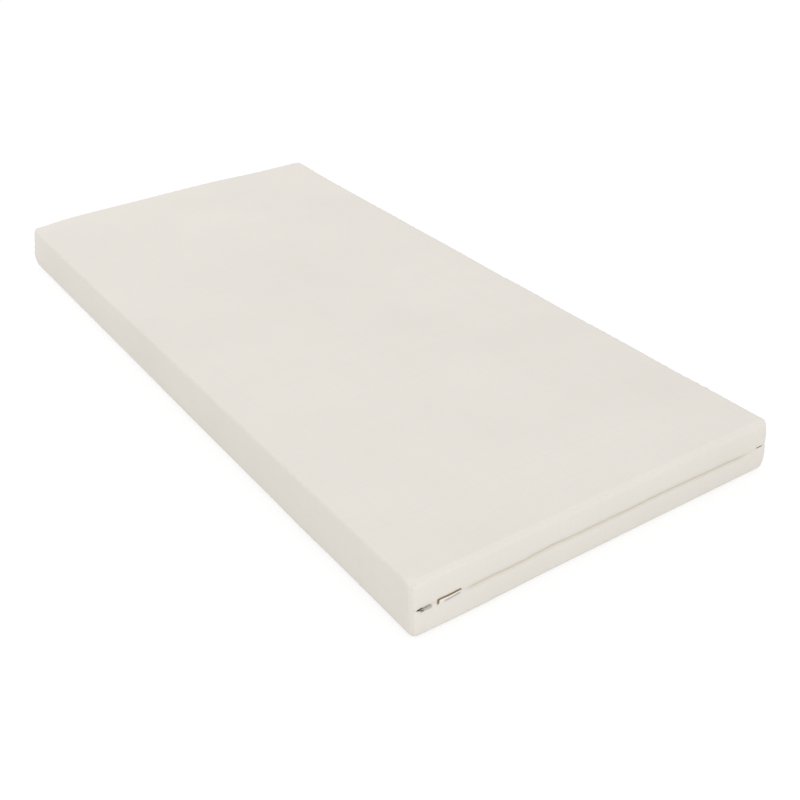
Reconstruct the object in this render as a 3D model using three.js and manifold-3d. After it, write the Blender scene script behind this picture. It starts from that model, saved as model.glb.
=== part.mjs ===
// Latex mattress for a junior bed: a latex core full of pin holes, in a thin inner sleeve, inside a
// boxed cotton cover whose zip runs round one short and one long side.
// Millimetres. +X points to the zipped short side, +Y to the zipped long side and +Z up.
// The origin is the middle of the underside.

import * as THREE from 'three';
import { mergeGeometries, mergeVertices } from 'three/addons/utils/BufferGeometryUtils.js';
import Module from 'manifold-3d';

const wasm = await Module();
wasm.setup();

// Driving dimensions
const LENGTH = 1500;
const WIDTH = 700;
const HEIGHT = 100;

// Cover: boxed, with soft edges, a low crown and a slight belly in its sides
const COVER_THICKNESS = 1.2;
const COVER_CORNER_RADIUS = 9;
const COVER_ROLL_RADIUS = 11;
const COVER_CROWN = 2.5;
const COVER_BELLY = 1.5;
const SEAM_GAP = 0.3;

// Core and inner sleeve
const SLEEVE_THICKNESS = 0.8;
const SLEEVE_RIM = 14;
const LAYER_GAP = 0.3;
const PIN_RADIUS = 4.5;
const PIN_PITCH = 58;
const PIN_MARGIN = 45;

// Zip: the lips of the cover nearly close over a sunk chain
const ZIP_HEIGHT = 50.5;
const LIP_HALF_GAP = 1.9;
const PARK_HALF_GAP = 4.4;
const PARK_LENGTH = 13;
const PARK_TAPER = 15;
const OPENING_START = 8.2;
const OPENING_END = 20;
const ZIP_CLEARANCE = 0.3;
const FRONT_PLATE_DEPTH = 2.2;
const PLATE_THICKNESS = 0.9;
const COIL_DEPTH = 1.8;
const COIL_HALF_GAP = 0.7;
const COIL_WIDTH = 2.2;
const COIL_CHAMFER = 0.5;
const COIL_START = 10.6;
const COIL_END = 24;
const TAPE_START = 7.6;
const TAPE_END = 16;
const TAPE_THICKNESS = 0.6;
const TAPE_WIDTH = 14.3;
const TAPE_SEAT = 0.5;
const TAPE_DIP_INNER = 6;
const TAPE_DIP_OUTER = 10;
const TAPE_SPARE = 2;

// Stops at the two ends of the chain
const TOP_STOP_LENGTH = 1.5;
const TOP_STOP_INNER = 0.9;
const TOP_STOP_WIDTH = 2;
const BOTTOM_STOP_LENGTH = 4;
const BOTTOM_STOP_WIDTH = 6.4;
const STOP_ROUNDING = 0.3;

// Slider
const SLIDER_START = 8.5;
const SLIDER_LENGTH = 12;
const SLIDER_HALF_WIDE = 4.8;
const SLIDER_HALF_NARROW = 4;
const SLIDER_CORNER = 1.2;
const SLIDER_FLANGE = 0.8;
const WEDGE_START = 1;
const WEDGE_LENGTH = 4.5;
const WEDGE_HALF = 0.4;
const CROWN_HALF_WIDTH = 0.9;
const CROWN_LEG = 0.9;
const CROWN_BRIDGE = 0.9;
const CROWN_HALF_OPENING = 1.2;
const CROWN_HEADROOM = 1.15;

// Pull tab, hinged under the bridge of the slider
const HINGE_ALONG = 6.4;
const HINGE_PROUD = 2.2;
const TAB_THICKNESS = 1.2;
const TAB_LENGTH = 17;
const TAB_BAR = 1.2;
const TAB_EYE_LENGTH = 3.2;
const TAB_EYE_HALF = 1.25;
const TAB_HEAD_HALF = 2.6;
const TAB_WAIST_HALF = 1.9;
const TAB_END_HALF = 2.7;
const TAB_NECK = 2.4;

// Sewn-in label, folded over the lower lip of the zip
const LABEL_START = 44;
const LABEL_LENGTH = 40;
const LABEL_LEAF = 0.4;
const LABEL_FOLDED = 0.8;
const LABEL_DROP = 6.5;
const LABEL_TUCK = 7;
const LABEL_LIP_GAP = 0.2;
const LABEL_FACE_GAP = 0.3;

// Fineness of the facets, in counts
const CORNER_STEPS = 5;
const ROLL_STEPS = 4;
const PIN_SIDES = 5;
const BAR_SIDES = 12;
const CURVE_STEPS = 4;

// Hand-chosen shares that shape the sides and the crown
const SIDE_BELLY_SHARE = 0.35;
const CROWN_INSET_SHARES = [0.12, 0.28, 0.5, 0.75];
const SEAM_ROLL_SHARE = 0.5;
const CORNER_GROWTH_SHARE = 0.5;
const CORNER_LIMIT_SHARE = 0.9;

// One length by which every cutting body runs past what it cuts
const OVERRUN = 5;

// Sizes worked out from the ones above
const HALF_LENGTH = LENGTH / 2;
const HALF_WIDTH = WIDTH / 2;
const EDGE_HEIGHT = HEIGHT - COVER_CROWN;
const QUARTER_TURN = Math.PI / 2;
const SEAM_RISE = COVER_ROLL_RADIUS * Math.sin(SEAM_ROLL_SHARE * QUARTER_TURN);
const TOP_SEAM_Z = EDGE_HEIGHT - COVER_ROLL_RADIUS + SEAM_RISE;
const BOTTOM_SEAM_Z = COVER_ROLL_RADIUS - SEAM_RISE;
const COIL_FRONT = FRONT_PLATE_DEPTH + PLATE_THICKNESS + ZIP_CLEARANCE;
const COIL_BACK = COIL_FRONT + COIL_DEPTH;
const TAPE_FRONT = COIL_BACK + ZIP_CLEARANCE;
const TAPE_BACK = TAPE_FRONT + TAPE_THICKNESS;
const BACK_PLATE_DEPTH = TAPE_BACK + ZIP_CLEARANCE;
const ZIP_DEPTH = BACK_PLATE_DEPTH + PLATE_THICKNESS;
const SLEEVE_INSET = COVER_THICKNESS + LAYER_GAP;
const SLEEVE_ZIP_INSET = ZIP_DEPTH + LAYER_GAP + LAYER_GAP;
const COIL_OUTER = COIL_HALF_GAP + COIL_WIDTH;

// The sides are flat over the height of the zip's tapes, and draw in above and below them
const FLAT_HALF = COIL_HALF_GAP + TAPE_WIDTH + TAPE_SPARE;
const FLAT_LOW = ZIP_HEIGHT - FLAT_HALF;
const FLAT_HIGH = ZIP_HEIGHT + FLAT_HALF;

const COLOURS = {
  cotton: 0xe4e2d9,
  latex: 0xeee3c4,
  stockinette: 0xf1efe8,
  tape: 0xe0ddd1,
  coil: 0xcfcabb,
  metal: 0x8d8c89,
  label: 0xf2f0ea,
};

function finish(colour, roughness, metalness = 0) {
  return new THREE.MeshStandardMaterial({ color: colour, roughness, metalness });
}

function solidOf(geometry) {
  const bare = geometry.clone();
  bare.deleteAttribute('normal');
  bare.deleteAttribute('uv');
  const merged = mergeVertices(bare);
  return new wasm.Manifold(new wasm.Mesh({
    numProp: 3,
    vertProperties: merged.attributes.position.array,
    triVerts: new Uint32Array(merged.index.array),
  }));
}

function geometryOf(solid) {
  const mesh = solid.getMesh();
  const geometry = new THREE.BufferGeometry();
  geometry.setAttribute('position', new THREE.BufferAttribute(mesh.vertProperties, 3));
  geometry.setIndex(new THREE.BufferAttribute(mesh.triVerts, 1));
  geometry.computeVertexNormals();
  return geometry;
}

function indexedGeometry(positions, faces) {
  const geometry = new THREE.BufferGeometry();
  geometry.setAttribute('position', new THREE.Float32BufferAttribute(positions, 3));
  geometry.setIndex(faces);
  geometry.computeVertexNormals();
  return geometry;
}

// A block between two corners
function block(low, high) {
  const size = new THREE.Vector3().subVectors(high, low);
  const middle = new THREE.Vector3().addVectors(low, high).multiplyScalar(0.5);
  return new THREE.BoxGeometry(size.x, size.y, size.z).translate(middle.x, middle.y, middle.z);
}

// A plan outline carried from one height to another
function planPrism(points, lowZ, highZ) {
  const depth = highZ - lowZ;
  const shape = new THREE.Shape(points);
  return new THREE.ExtrudeGeometry(shape, { depth, bevelEnabled: false }).translate(0, 0, lowZ);
}

// One ring of a padded form: a rectangle with rounded corners, drawn in from the box by an inset
function ring(box, inset, radius) {
  const halfX = (box.highX - box.lowX) / 2 - inset;
  const halfY = (box.highY - box.lowY) / 2 - inset;
  const middleX = (box.highX + box.lowX) / 2;
  const middleY = (box.highY + box.lowY) / 2;
  const grown = radius + CORNER_GROWTH_SHARE * inset;
  const corner = Math.min(grown, CORNER_LIMIT_SHARE * Math.min(halfX, halfY));
  const points = [];
  for (let quarter = 0; quarter < 4; quarter += 1) {
    const signX = quarter === 0 || quarter === 3 ? 1 : -1;
    const signY = quarter < 2 ? 1 : -1;
    for (let step = 0; step <= CORNER_STEPS; step += 1) {
      const angle = QUARTER_TURN * (quarter + step / CORNER_STEPS);
      const x = middleX + signX * (halfX - corner) + corner * Math.cos(angle);
      const y = middleY + signY * (halfY - corner) + corner * Math.sin(angle);
      points.push([x, y]);
    }
  }
  return points;
}

// A closed padded form, lofted through rings from its flat underside to its crown
function paddedForm(box, radius, roll, belly, crown) {
  const levels = [];
  for (let step = 0; step <= ROLL_STEPS; step += 1) {
    const angle = QUARTER_TURN * (step / ROLL_STEPS - 1);
    levels.push([belly + roll * (1 - Math.cos(angle)), box.lowZ + roll * (1 + Math.sin(angle))]);
  }
  const drawnIn = belly * SIDE_BELLY_SHARE;
  levels.push([drawnIn, (box.lowZ + roll + FLAT_LOW) / 2]);
  levels.push([0, FLAT_LOW]);
  levels.push([0, FLAT_HIGH]);
  levels.push([drawnIn, (box.highZ - roll + FLAT_HIGH) / 2]);
  for (let step = 0; step <= ROLL_STEPS; step += 1) {
    const angle = QUARTER_TURN * (step / ROLL_STEPS);
    levels.push([belly + roll * (1 - Math.cos(angle)), box.highZ - roll * (1 - Math.sin(angle))]);
  }
  if (crown > 0) {
    const edge = belly + roll;
    const reach = (box.highY - box.lowY) / 2 - edge;
    const lastShare = CROWN_INSET_SHARES.at(-1);
    CROWN_INSET_SHARES.forEach((share) => {
      const fall = (1 - share / lastShare) ** 2;
      levels.push([edge + reach * share, box.highZ + crown * (1 - fall)]);
    });
  }
  const positions = [];
  const faces = [];
  for (const [inset, z] of levels) {
    for (const [x, y] of ring(box, inset, radius)) {
      positions.push(x, y, z);
    }
  }
  const count = 4 * (CORNER_STEPS + 1);
  for (let level = 0; level + 1 < levels.length; level += 1) {
    for (let point = 0; point < count; point += 1) {
      const next = (point + 1) % count;
      const low = level * count;
      const high = low + count;
      faces.push(low + point, low + next, high + next);
      faces.push(low + point, high + next, high + point);
    }
  }
  const last = (levels.length - 1) * count;
  for (let point = 1; point + 1 < count; point += 1) {
    faces.push(0, point + 1, point);
    faces.push(last, last + point, last + point + 1);
  }
  return indexedGeometry(positions, faces);
}

// The box that lies inside the cover's outer faces by one depth, and on the zipped sides by another
function insideBox(depth, zipDepth) {
  return {
    lowX: -HALF_LENGTH + depth,
    highX: HALF_LENGTH - zipDepth,
    lowY: -HALF_WIDTH + depth,
    highY: HALF_WIDTH - zipDepth,
    lowZ: depth,
    highZ: EDGE_HEIGHT - depth,
  };
}

// Padded form that follows the cover at a depth inside it
function layerForm(depth, zipDepth, crown) {
  const radius = COVER_CORNER_RADIUS - depth;
  const roll = COVER_ROLL_RADIUS - depth;
  return paddedForm(insideBox(depth, zipDepth), radius, roll, COVER_BELLY, crown);
}

function coverShell() {
  const outer = solidOf(layerForm(0, 0, COVER_CROWN));
  const inner = solidOf(layerForm(COVER_THICKNESS, COVER_THICKNESS, COVER_CROWN));
  return outer.subtract(inner);
}

// The slice of the cover between two heights
function coverSlice(shell, lowZ, highZ) {
  const reachX = HALF_LENGTH + OVERRUN;
  const reachY = HALF_WIDTH + OVERRUN;
  const low = new THREE.Vector3(-reachX, -reachY, lowZ);
  const high = new THREE.Vector3(reachX, reachY, highZ);
  return shell.intersect(solidOf(block(low, high)));
}

// The wedge of space behind one side of the cover, mitred at 45 degrees in its two corners
function sideWedge(axis, sign) {
  const depth = COVER_ROLL_RADIUS + COVER_BELLY + COVER_THICKNESS;
  const alongHalf = axis === 'x' ? HALF_WIDTH : HALF_LENGTH;
  const acrossHalf = axis === 'x' ? HALF_LENGTH : HALF_WIDTH;
  const mitre = SEAM_GAP * Math.SQRT1_2;
  const innerAlong = alongHalf - depth - mitre;
  const outerAlong = alongHalf + OVERRUN - mitre;
  const innerAcross = sign * (acrossHalf - depth);
  const outerAcross = sign * (acrossHalf + OVERRUN);
  const corners = [
    [-innerAlong, innerAcross],
    [-outerAlong, outerAcross],
    [outerAlong, outerAcross],
    [innerAlong, innerAcross],
  ];
  const points = corners.map(([along, across]) => (
    axis === 'x' ? new THREE.Vector2(across, along) : new THREE.Vector2(along, across)
  ));
  return solidOf(planPrism(points, -OVERRUN, HEIGHT + OVERRUN));
}

// Zip opening in the short side: shut up to the first stop, wide where the slider parks, then narrow
function endOpening() {
  const half = SEAM_GAP / 2;
  const parkEnd = OPENING_START + PARK_LENGTH;
  const profile = [
    [-OVERRUN, half],
    [OPENING_START, half],
    [OPENING_START, PARK_HALF_GAP],
    [parkEnd, PARK_HALF_GAP],
    [parkEnd + PARK_TAPER, LIP_HALF_GAP],
    [WIDTH + OVERRUN, LIP_HALF_GAP],
  ];
  const upper = profile.map(([offset, rise]) => new THREE.Vector2(offset - HALF_WIDTH, rise));
  const lower = profile.map(([offset, rise]) => new THREE.Vector2(offset - HALF_WIDTH, -rise));
  const depth = COVER_CORNER_RADIUS + OVERRUN;
  const shape = new THREE.Shape([...upper.reverse(), ...lower]);
  const geometry = new THREE.ExtrudeGeometry(shape, { depth, bevelEnabled: false });
  geometry.applyMatrix4(faceMatrix(HALF_LENGTH - COVER_CORNER_RADIUS, 0));
  return solidOf(geometry);
}

// Zip opening in the long side: narrow all along, shut just before the back corner
function sideOpening() {
  const half = SEAM_GAP / 2;
  const depth = COVER_CORNER_RADIUS + OVERRUN;
  const farX = OPENING_END - HALF_LENGTH;
  const low = new THREE.Vector3(farX, HALF_WIDTH - COVER_CORNER_RADIUS, ZIP_HEIGHT - LIP_HALF_GAP);
  const high = new THREE.Vector3(HALF_LENGTH + OVERRUN, low.y + depth, ZIP_HEIGHT + LIP_HALF_GAP);
  const seamLow = new THREE.Vector3(-HALF_LENGTH - OVERRUN, low.y, ZIP_HEIGHT - half);
  const seamHigh = new THREE.Vector3(high.x, high.y, ZIP_HEIGHT + half);
  return solidOf(block(low, high)).add(solidOf(block(seamLow, seamHigh)));
}

// Turns local (along, up, outwards) into world (Y, Z, X) on the zipped short face
function faceMatrix(faceX, along) {
  const matrix = new THREE.Matrix4().makeBasis(
    new THREE.Vector3(0, 1, 0),
    new THREE.Vector3(0, 0, 1),
    new THREE.Vector3(1, 0, 0),
  );
  return matrix.setPosition(faceX, along, ZIP_HEIGHT);
}

// Points along the zip with their outward direction, from the near corner round the right corner
function zipStations(start, end) {
  const stations = [[HALF_LENGTH, start - HALF_WIDTH, 1, 0]];
  const centreX = HALF_LENGTH - COVER_CORNER_RADIUS;
  const centreY = HALF_WIDTH - COVER_CORNER_RADIUS;
  for (let step = 0; step <= CORNER_STEPS; step += 1) {
    const angle = QUARTER_TURN * (step / CORNER_STEPS);
    const outX = Math.cos(angle);
    const outY = Math.sin(angle);
    const x = centreX + COVER_CORNER_RADIUS * outX;
    const y = centreY + COVER_CORNER_RADIUS * outY;
    stations.push([x, y, outX, outY]);
  }
  stations.push([end - HALF_LENGTH, HALF_WIDTH, 0, 1]);
  return stations;
}

// A closed section of (depth behind the face, height above the zip line), carried along stations
function sweep(section, stations) {
  const positions = [];
  const faces = [];
  for (const [x, y, outX, outY] of stations) {
    for (const [depth, rise] of section) {
      positions.push(x - depth * outX, y - depth * outY, ZIP_HEIGHT + rise);
    }
  }
  const count = section.length;
  for (let station = 0; station + 1 < stations.length; station += 1) {
    for (let point = 0; point < count; point += 1) {
      const next = (point + 1) % count;
      const here = station * count;
      const there = here + count;
      faces.push(here + point, here + next, there + next);
      faces.push(here + point, there + next, there + point);
    }
  }
  const contour = section.map(([depth, rise]) => new THREE.Vector2(depth, rise));
  const last = (stations.length - 1) * count;
  for (const [a, b, c] of THREE.ShapeUtils.triangulateShape(contour, [])) {
    faces.push(c, b, a);
    faces.push(last + a, last + b, last + c);
  }
  return indexedGeometry(positions, faces);
}

// Mirrors an upper section to the lower side of the zip, keeping its turning sense
function below(section) {
  return section.map(([depth, rise]) => [depth, -rise]).reverse();
}

// Tape section: its margin backs the cover, and it dips inwards to carry the chain
function tapeSection() {
  const seat = COVER_THICKNESS + TAPE_SEAT;
  const outerRise = COIL_HALF_GAP + TAPE_WIDTH;
  return [
    [TAPE_FRONT, COIL_HALF_GAP],
    [TAPE_BACK, COIL_HALF_GAP],
    [TAPE_BACK, TAPE_DIP_INNER + TAPE_THICKNESS / 2],
    [seat + TAPE_THICKNESS, TAPE_DIP_OUTER + TAPE_THICKNESS / 2],
    [seat + TAPE_THICKNESS, outerRise],
    [seat, outerRise],
    [seat, TAPE_DIP_OUTER],
    [TAPE_FRONT, TAPE_DIP_INNER],
  ];
}

// Section of one row of the coil: a flattened round
function coilSection() {
  return [
    [COIL_FRONT + COIL_CHAMFER, COIL_HALF_GAP],
    [COIL_BACK - COIL_CHAMFER, COIL_HALF_GAP],
    [COIL_BACK, COIL_HALF_GAP + COIL_CHAMFER],
    [COIL_BACK, COIL_OUTER - COIL_CHAMFER],
    [COIL_BACK - COIL_CHAMFER, COIL_OUTER],
    [COIL_FRONT + COIL_CHAMFER, COIL_OUTER],
    [COIL_FRONT, COIL_OUTER - COIL_CHAMFER],
    [COIL_FRONT, COIL_HALF_GAP + COIL_CHAMFER],
  ];
}

// Folded label: one leaf tucked behind the lower lip, the other hanging down its face
function labelSection() {
  const tuckFront = COVER_THICKNESS + LABEL_FACE_GAP;
  const tuckBack = tuckFront + LABEL_LEAF;
  const foldUnder = -LIP_HALF_GAP + LABEL_LIP_GAP;
  const foldTop = foldUnder + LABEL_LEAF;
  const hangBack = -LABEL_FACE_GAP;
  const hangFront = hangBack - LABEL_FOLDED;
  return [
    [tuckBack, -LABEL_TUCK],
    [tuckBack, foldTop],
    [hangFront, foldTop],
    [hangFront, -LABEL_DROP],
    [hangBack, -LABEL_DROP],
    [hangBack, foldUnder],
    [tuckFront, foldUnder],
    [tuckFront, -LABEL_TUCK],
  ];
}

function labelGeometry() {
  const start = LABEL_START - HALF_WIDTH;
  const stations = [
    [HALF_LENGTH, start, 1, 0],
    [HALF_LENGTH, start + LABEL_LENGTH, 1, 0],
  ];
  return sweep(labelSection(), stations);
}

// Latex core: a rounded slab with a grid of pin holes left by the heating pins of its mould
function coreGeometry() {
  const depth = SLEEVE_INSET + SLEEVE_THICKNESS + LAYER_GAP;
  const zipDepth = SLEEVE_ZIP_INSET + SLEEVE_THICKNESS + LAYER_GAP;
  const box = insideBox(depth, zipDepth);
  const slab = solidOf(layerForm(depth, zipDepth, 0));
  const countX = Math.floor((box.highX - box.lowX - 2 * PIN_MARGIN) / PIN_PITCH) + 1;
  const countY = Math.floor((box.highY - box.lowY - 2 * PIN_MARGIN) / PIN_PITCH) + 1;
  const startX = (box.lowX + box.highX - (countX - 1) * PIN_PITCH) / 2;
  const startY = (box.lowY + box.highY - (countY - 1) * PIN_PITCH) / 2;
  const tall = HEIGHT + OVERRUN;
  const pins = [];
  for (let column = 0; column < countX; column += 1) {
    for (let row = 0; row < countY; row += 1) {
      const pin = new THREE.CylinderGeometry(PIN_RADIUS, PIN_RADIUS, tall, PIN_SIDES);
      pin.rotateX(QUARTER_TURN);
      pin.translate(startX + column * PIN_PITCH, startY + row * PIN_PITCH, HEIGHT / 2);
      pins.push(pin);
    }
  }
  return geometryOf(slab.subtract(solidOf(mergeGeometries(pins))));
}

// Inner sleeve: slips over the core like a pillowcase and stays open at the zipped short end
function sleeveGeometry() {
  const inner = SLEEVE_INSET + SLEEVE_THICKNESS;
  const innerZip = SLEEVE_ZIP_INSET + SLEEVE_THICKNESS;
  const outside = solidOf(layerForm(SLEEVE_INSET, SLEEVE_ZIP_INSET, 0));
  const inside = solidOf(layerForm(inner, innerZip, 0));
  const box = insideBox(inner, innerZip);
  const low = new THREE.Vector3(box.highX - OVERRUN, box.lowY + SLEEVE_RIM, box.lowZ + SLEEVE_RIM);
  const high = new THREE.Vector3(HALF_LENGTH, box.highY - SLEEVE_RIM, box.highZ - SLEEVE_RIM);
  return geometryOf(outside.subtract(inside).subtract(solidOf(block(low, high))));
}

// A plate seen from the front: wide at the mouth, narrow at the tail, with rounded corners
function sliderOutline(halfWide, halfNarrow, length, corner) {
  const shape = new THREE.Shape();
  shape.moveTo(corner, -halfWide);
  shape.lineTo(length - corner, -halfNarrow);
  shape.quadraticCurveTo(length, -halfNarrow, length, -halfNarrow + corner);
  shape.lineTo(length, halfNarrow - corner);
  shape.quadraticCurveTo(length, halfNarrow, length - corner, halfNarrow);
  shape.lineTo(corner, halfWide);
  shape.quadraticCurveTo(0, halfWide, 0, halfWide - corner);
  shape.lineTo(0, -halfWide + corner);
  shape.quadraticCurveTo(0, -halfWide, corner, -halfWide);
  return shape;
}

// A shape carried outwards from one depth behind the face to a smaller one
function carried(shape, deep, shallow) {
  const settings = { depth: deep - shallow, bevelEnabled: false, curveSegments: CURVE_STEPS };
  return solidOf(new THREE.ExtrudeGeometry(shape, settings).translate(0, 0, -deep));
}

// Slider, local axes along, up and outwards: two plates, side flanges, a wedge and a bridge
function sliderGeometry() {
  const outline = sliderOutline(SLIDER_HALF_WIDE, SLIDER_HALF_NARROW, SLIDER_LENGTH, SLIDER_CORNER);
  const channelWide = SLIDER_HALF_WIDE - SLIDER_FLANGE;
  const channelNarrow = SLIDER_HALF_NARROW - SLIDER_FLANGE;
  const channel = new THREE.Shape([
    new THREE.Vector2(-OVERRUN, -channelWide),
    new THREE.Vector2(0, -channelWide),
    new THREE.Vector2(SLIDER_LENGTH, -channelNarrow),
    new THREE.Vector2(SLIDER_LENGTH + OVERRUN, -channelNarrow),
    new THREE.Vector2(SLIDER_LENGTH + OVERRUN, channelNarrow),
    new THREE.Vector2(SLIDER_LENGTH, channelNarrow),
    new THREE.Vector2(0, channelWide),
    new THREE.Vector2(-OVERRUN, channelWide),
  ]);
  const innerFront = FRONT_PLATE_DEPTH + PLATE_THICKNESS;
  const front = carried(outline, COIL_BACK, FRONT_PLATE_DEPTH);
  const hollow = carried(channel, COIL_BACK + OVERRUN, innerFront);
  const back = carried(outline, ZIP_DEPTH, BACK_PLATE_DEPTH);
  const wedgeMiddle = WEDGE_START + WEDGE_LENGTH / 2;
  const wedgeShape = new THREE.Shape([
    new THREE.Vector2(WEDGE_START, 0),
    new THREE.Vector2(wedgeMiddle, -WEDGE_HALF),
    new THREE.Vector2(WEDGE_START + WEDGE_LENGTH, 0),
    new THREE.Vector2(wedgeMiddle, WEDGE_HALF),
  ]);
  const bite = PLATE_THICKNESS / 2;
  const wedge = carried(wedgeShape, BACK_PLATE_DEPTH + bite, innerFront - bite);
  return geometryOf(front.subtract(hollow).add(back).add(wedge).add(bridge()));
}

// The bridge over the pull tab's bar: a small arch standing on the front plate
function bridge() {
  const half = CROWN_HALF_OPENING + CROWN_LEG;
  const underside = HINGE_PROUD + CROWN_HEADROOM;
  const top = underside + CROWN_BRIDGE;
  const foot = -FRONT_PLATE_DEPTH - PLATE_THICKNESS / 2;
  const floor = -FRONT_PLATE_DEPTH + PLATE_THICKNESS;
  const round = CROWN_LEG;
  const shape = new THREE.Shape();
  shape.moveTo(HINGE_ALONG - half, foot);
  shape.lineTo(HINGE_ALONG + half, foot);
  shape.lineTo(HINGE_ALONG + half, top - round);
  shape.quadraticCurveTo(HINGE_ALONG + half, top, HINGE_ALONG + half - round, top);
  shape.lineTo(HINGE_ALONG - half + round, top);
  shape.quadraticCurveTo(HINGE_ALONG - half, top, HINGE_ALONG - half, top - round);
  const opening = new THREE.Path([
    new THREE.Vector2(HINGE_ALONG - CROWN_HALF_OPENING, floor),
    new THREE.Vector2(HINGE_ALONG - CROWN_HALF_OPENING, underside),
    new THREE.Vector2(HINGE_ALONG + CROWN_HALF_OPENING, underside),
    new THREE.Vector2(HINGE_ALONG + CROWN_HALF_OPENING, floor),
  ]);
  shape.holes.push(opening);
  const depth = 2 * CROWN_HALF_WIDTH;
  const settings = { depth, bevelEnabled: false, curveSegments: CURVE_STEPS };
  const arch = new THREE.ExtrudeGeometry(shape, settings);
  return solidOf(arch.translate(0, 0, -CROWN_HALF_WIDTH).rotateX(QUARTER_TURN));
}

// Pull tab, local axes along, up and outwards from its hinge: a round bar, an eye and a waisted tongue
function tabGeometry() {
  const bar = TAB_BAR / 2;
  const eyeEnd = bar + TAB_EYE_LENGTH;
  const waist = eyeEnd + TAB_NECK;
  const endStart = TAB_LENGTH - TAB_END_HALF;
  const shape = new THREE.Shape();
  shape.moveTo(-bar, -TAB_HEAD_HALF + bar);
  shape.quadraticCurveTo(-bar, -TAB_HEAD_HALF, bar, -TAB_HEAD_HALF);
  shape.lineTo(eyeEnd, -TAB_HEAD_HALF);
  shape.quadraticCurveTo(eyeEnd + bar, -TAB_WAIST_HALF, waist, -TAB_WAIST_HALF);
  shape.lineTo(endStart, -TAB_END_HALF);
  shape.absarc(endStart, 0, TAB_END_HALF, -QUARTER_TURN, QUARTER_TURN, false);
  shape.lineTo(waist, TAB_WAIST_HALF);
  shape.quadraticCurveTo(eyeEnd + bar, TAB_WAIST_HALF, eyeEnd, TAB_HEAD_HALF);
  shape.lineTo(bar, TAB_HEAD_HALF);
  shape.quadraticCurveTo(-bar, TAB_HEAD_HALF, -bar, TAB_HEAD_HALF - bar);
  shape.holes.push(new THREE.Path([
    new THREE.Vector2(bar, -TAB_EYE_HALF),
    new THREE.Vector2(bar, TAB_EYE_HALF),
    new THREE.Vector2(eyeEnd, TAB_EYE_HALF),
    new THREE.Vector2(eyeEnd, -TAB_EYE_HALF),
  ]));
  const settings = { depth: TAB_THICKNESS, bevelEnabled: false, curveSegments: CURVE_STEPS };
  const tongue = new THREE.ExtrudeGeometry(shape, settings).translate(0, 0, -TAB_THICKNESS / 2);
  const squareLow = new THREE.Vector3(-TAB_BAR, -TAB_EYE_HALF, -TAB_THICKNESS);
  const squareHigh = new THREE.Vector3(TAB_BAR, TAB_EYE_HALF, TAB_THICKNESS);
  const pinLength = TAB_EYE_HALF + TAB_HEAD_HALF;
  const pin = new THREE.CylinderGeometry(bar, bar, pinLength, BAR_SIDES);
  return geometryOf(solidOf(tongue).subtract(solidOf(block(squareLow, squareHigh))).add(solidOf(pin)));
}

// A stop with rounded ends, local axes along, up and outwards
function stopGeometry(along, length, lowRise, highRise) {
  const shape = new THREE.Shape();
  shape.moveTo(along + STOP_ROUNDING, lowRise);
  shape.lineTo(along + length - STOP_ROUNDING, lowRise);
  shape.lineTo(along + length, lowRise + STOP_ROUNDING);
  shape.lineTo(along + length, highRise - STOP_ROUNDING);
  shape.lineTo(along + length - STOP_ROUNDING, highRise);
  shape.lineTo(along + STOP_ROUNDING, highRise);
  shape.lineTo(along, highRise - STOP_ROUNDING);
  shape.lineTo(along, lowRise + STOP_ROUNDING);
  const settings = { depth: COIL_DEPTH, bevelEnabled: false };
  return new THREE.ExtrudeGeometry(shape, settings).translate(0, 0, -COIL_BACK);
}

const group = new THREE.Group();

function addPiece(parent, name, geometry, material) {
  const piece = new THREE.Mesh(geometry, material);
  piece.name = name;
  parent.add(piece);
  return piece;
}

function addCover() {
  const cotton = () => finish(COLOURS.cotton, 0.9);
  const shell = coverShell();
  const half = SEAM_GAP / 2;
  const top = coverSlice(shell, TOP_SEAM_Z + half, HEIGHT + OVERRUN);
  const bottom = coverSlice(shell, -OVERRUN, BOTTOM_SEAM_Z - half);
  const band = coverSlice(shell, BOTTOM_SEAM_Z + half, TOP_SEAM_Z - half);
  addPiece(group, 'cover_top_panel', geometryOf(top), cotton());
  addPiece(group, 'cover_bottom_panel', geometryOf(bottom), cotton());
  addPiece(group, 'cover_plain_side_border', geometryOf(band.intersect(sideWedge('y', -1))), cotton());
  addPiece(group, 'cover_plain_end_border', geometryOf(band.intersect(sideWedge('x', -1))), cotton());
  const zippedSides = [
    ['cover_zip_end', sideWedge('x', 1), endOpening()],
    ['cover_zip_side', sideWedge('y', 1), sideOpening()],
  ];
  for (const [name, wedge, opening] of zippedSides) {
    const strip = band.intersect(wedge).subtract(opening);
    const upper = coverSlice(strip, ZIP_HEIGHT, HEIGHT);
    const lower = coverSlice(strip, 0, ZIP_HEIGHT);
    addPiece(group, `${name}_upper_border`, geometryOf(upper), cotton());
    addPiece(group, `${name}_lower_border`, geometryOf(lower), cotton());
  }
}

function addFilling() {
  addPiece(group, 'latex_core', coreGeometry(), finish(COLOURS.latex, 0.85));
  addPiece(group, 'inner_sleeve', sleeveGeometry(), finish(COLOURS.stockinette, 0.95));
}

function addChain() {
  const tapePath = zipStations(TAPE_START, TAPE_END);
  const coilPath = zipStations(COIL_START, COIL_END);
  const tape = tapeSection();
  const coil = coilSection();
  addPiece(group, 'zip_tape_upper', sweep(tape, tapePath), finish(COLOURS.tape, 0.9));
  addPiece(group, 'zip_tape_lower', sweep(below(tape), tapePath), finish(COLOURS.tape, 0.9));
  addPiece(group, 'zip_coil_upper', sweep(coil, coilPath), finish(COLOURS.coil, 0.5));
  addPiece(group, 'zip_coil_lower', sweep(below(coil), coilPath), finish(COLOURS.coil, 0.5));
}

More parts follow.
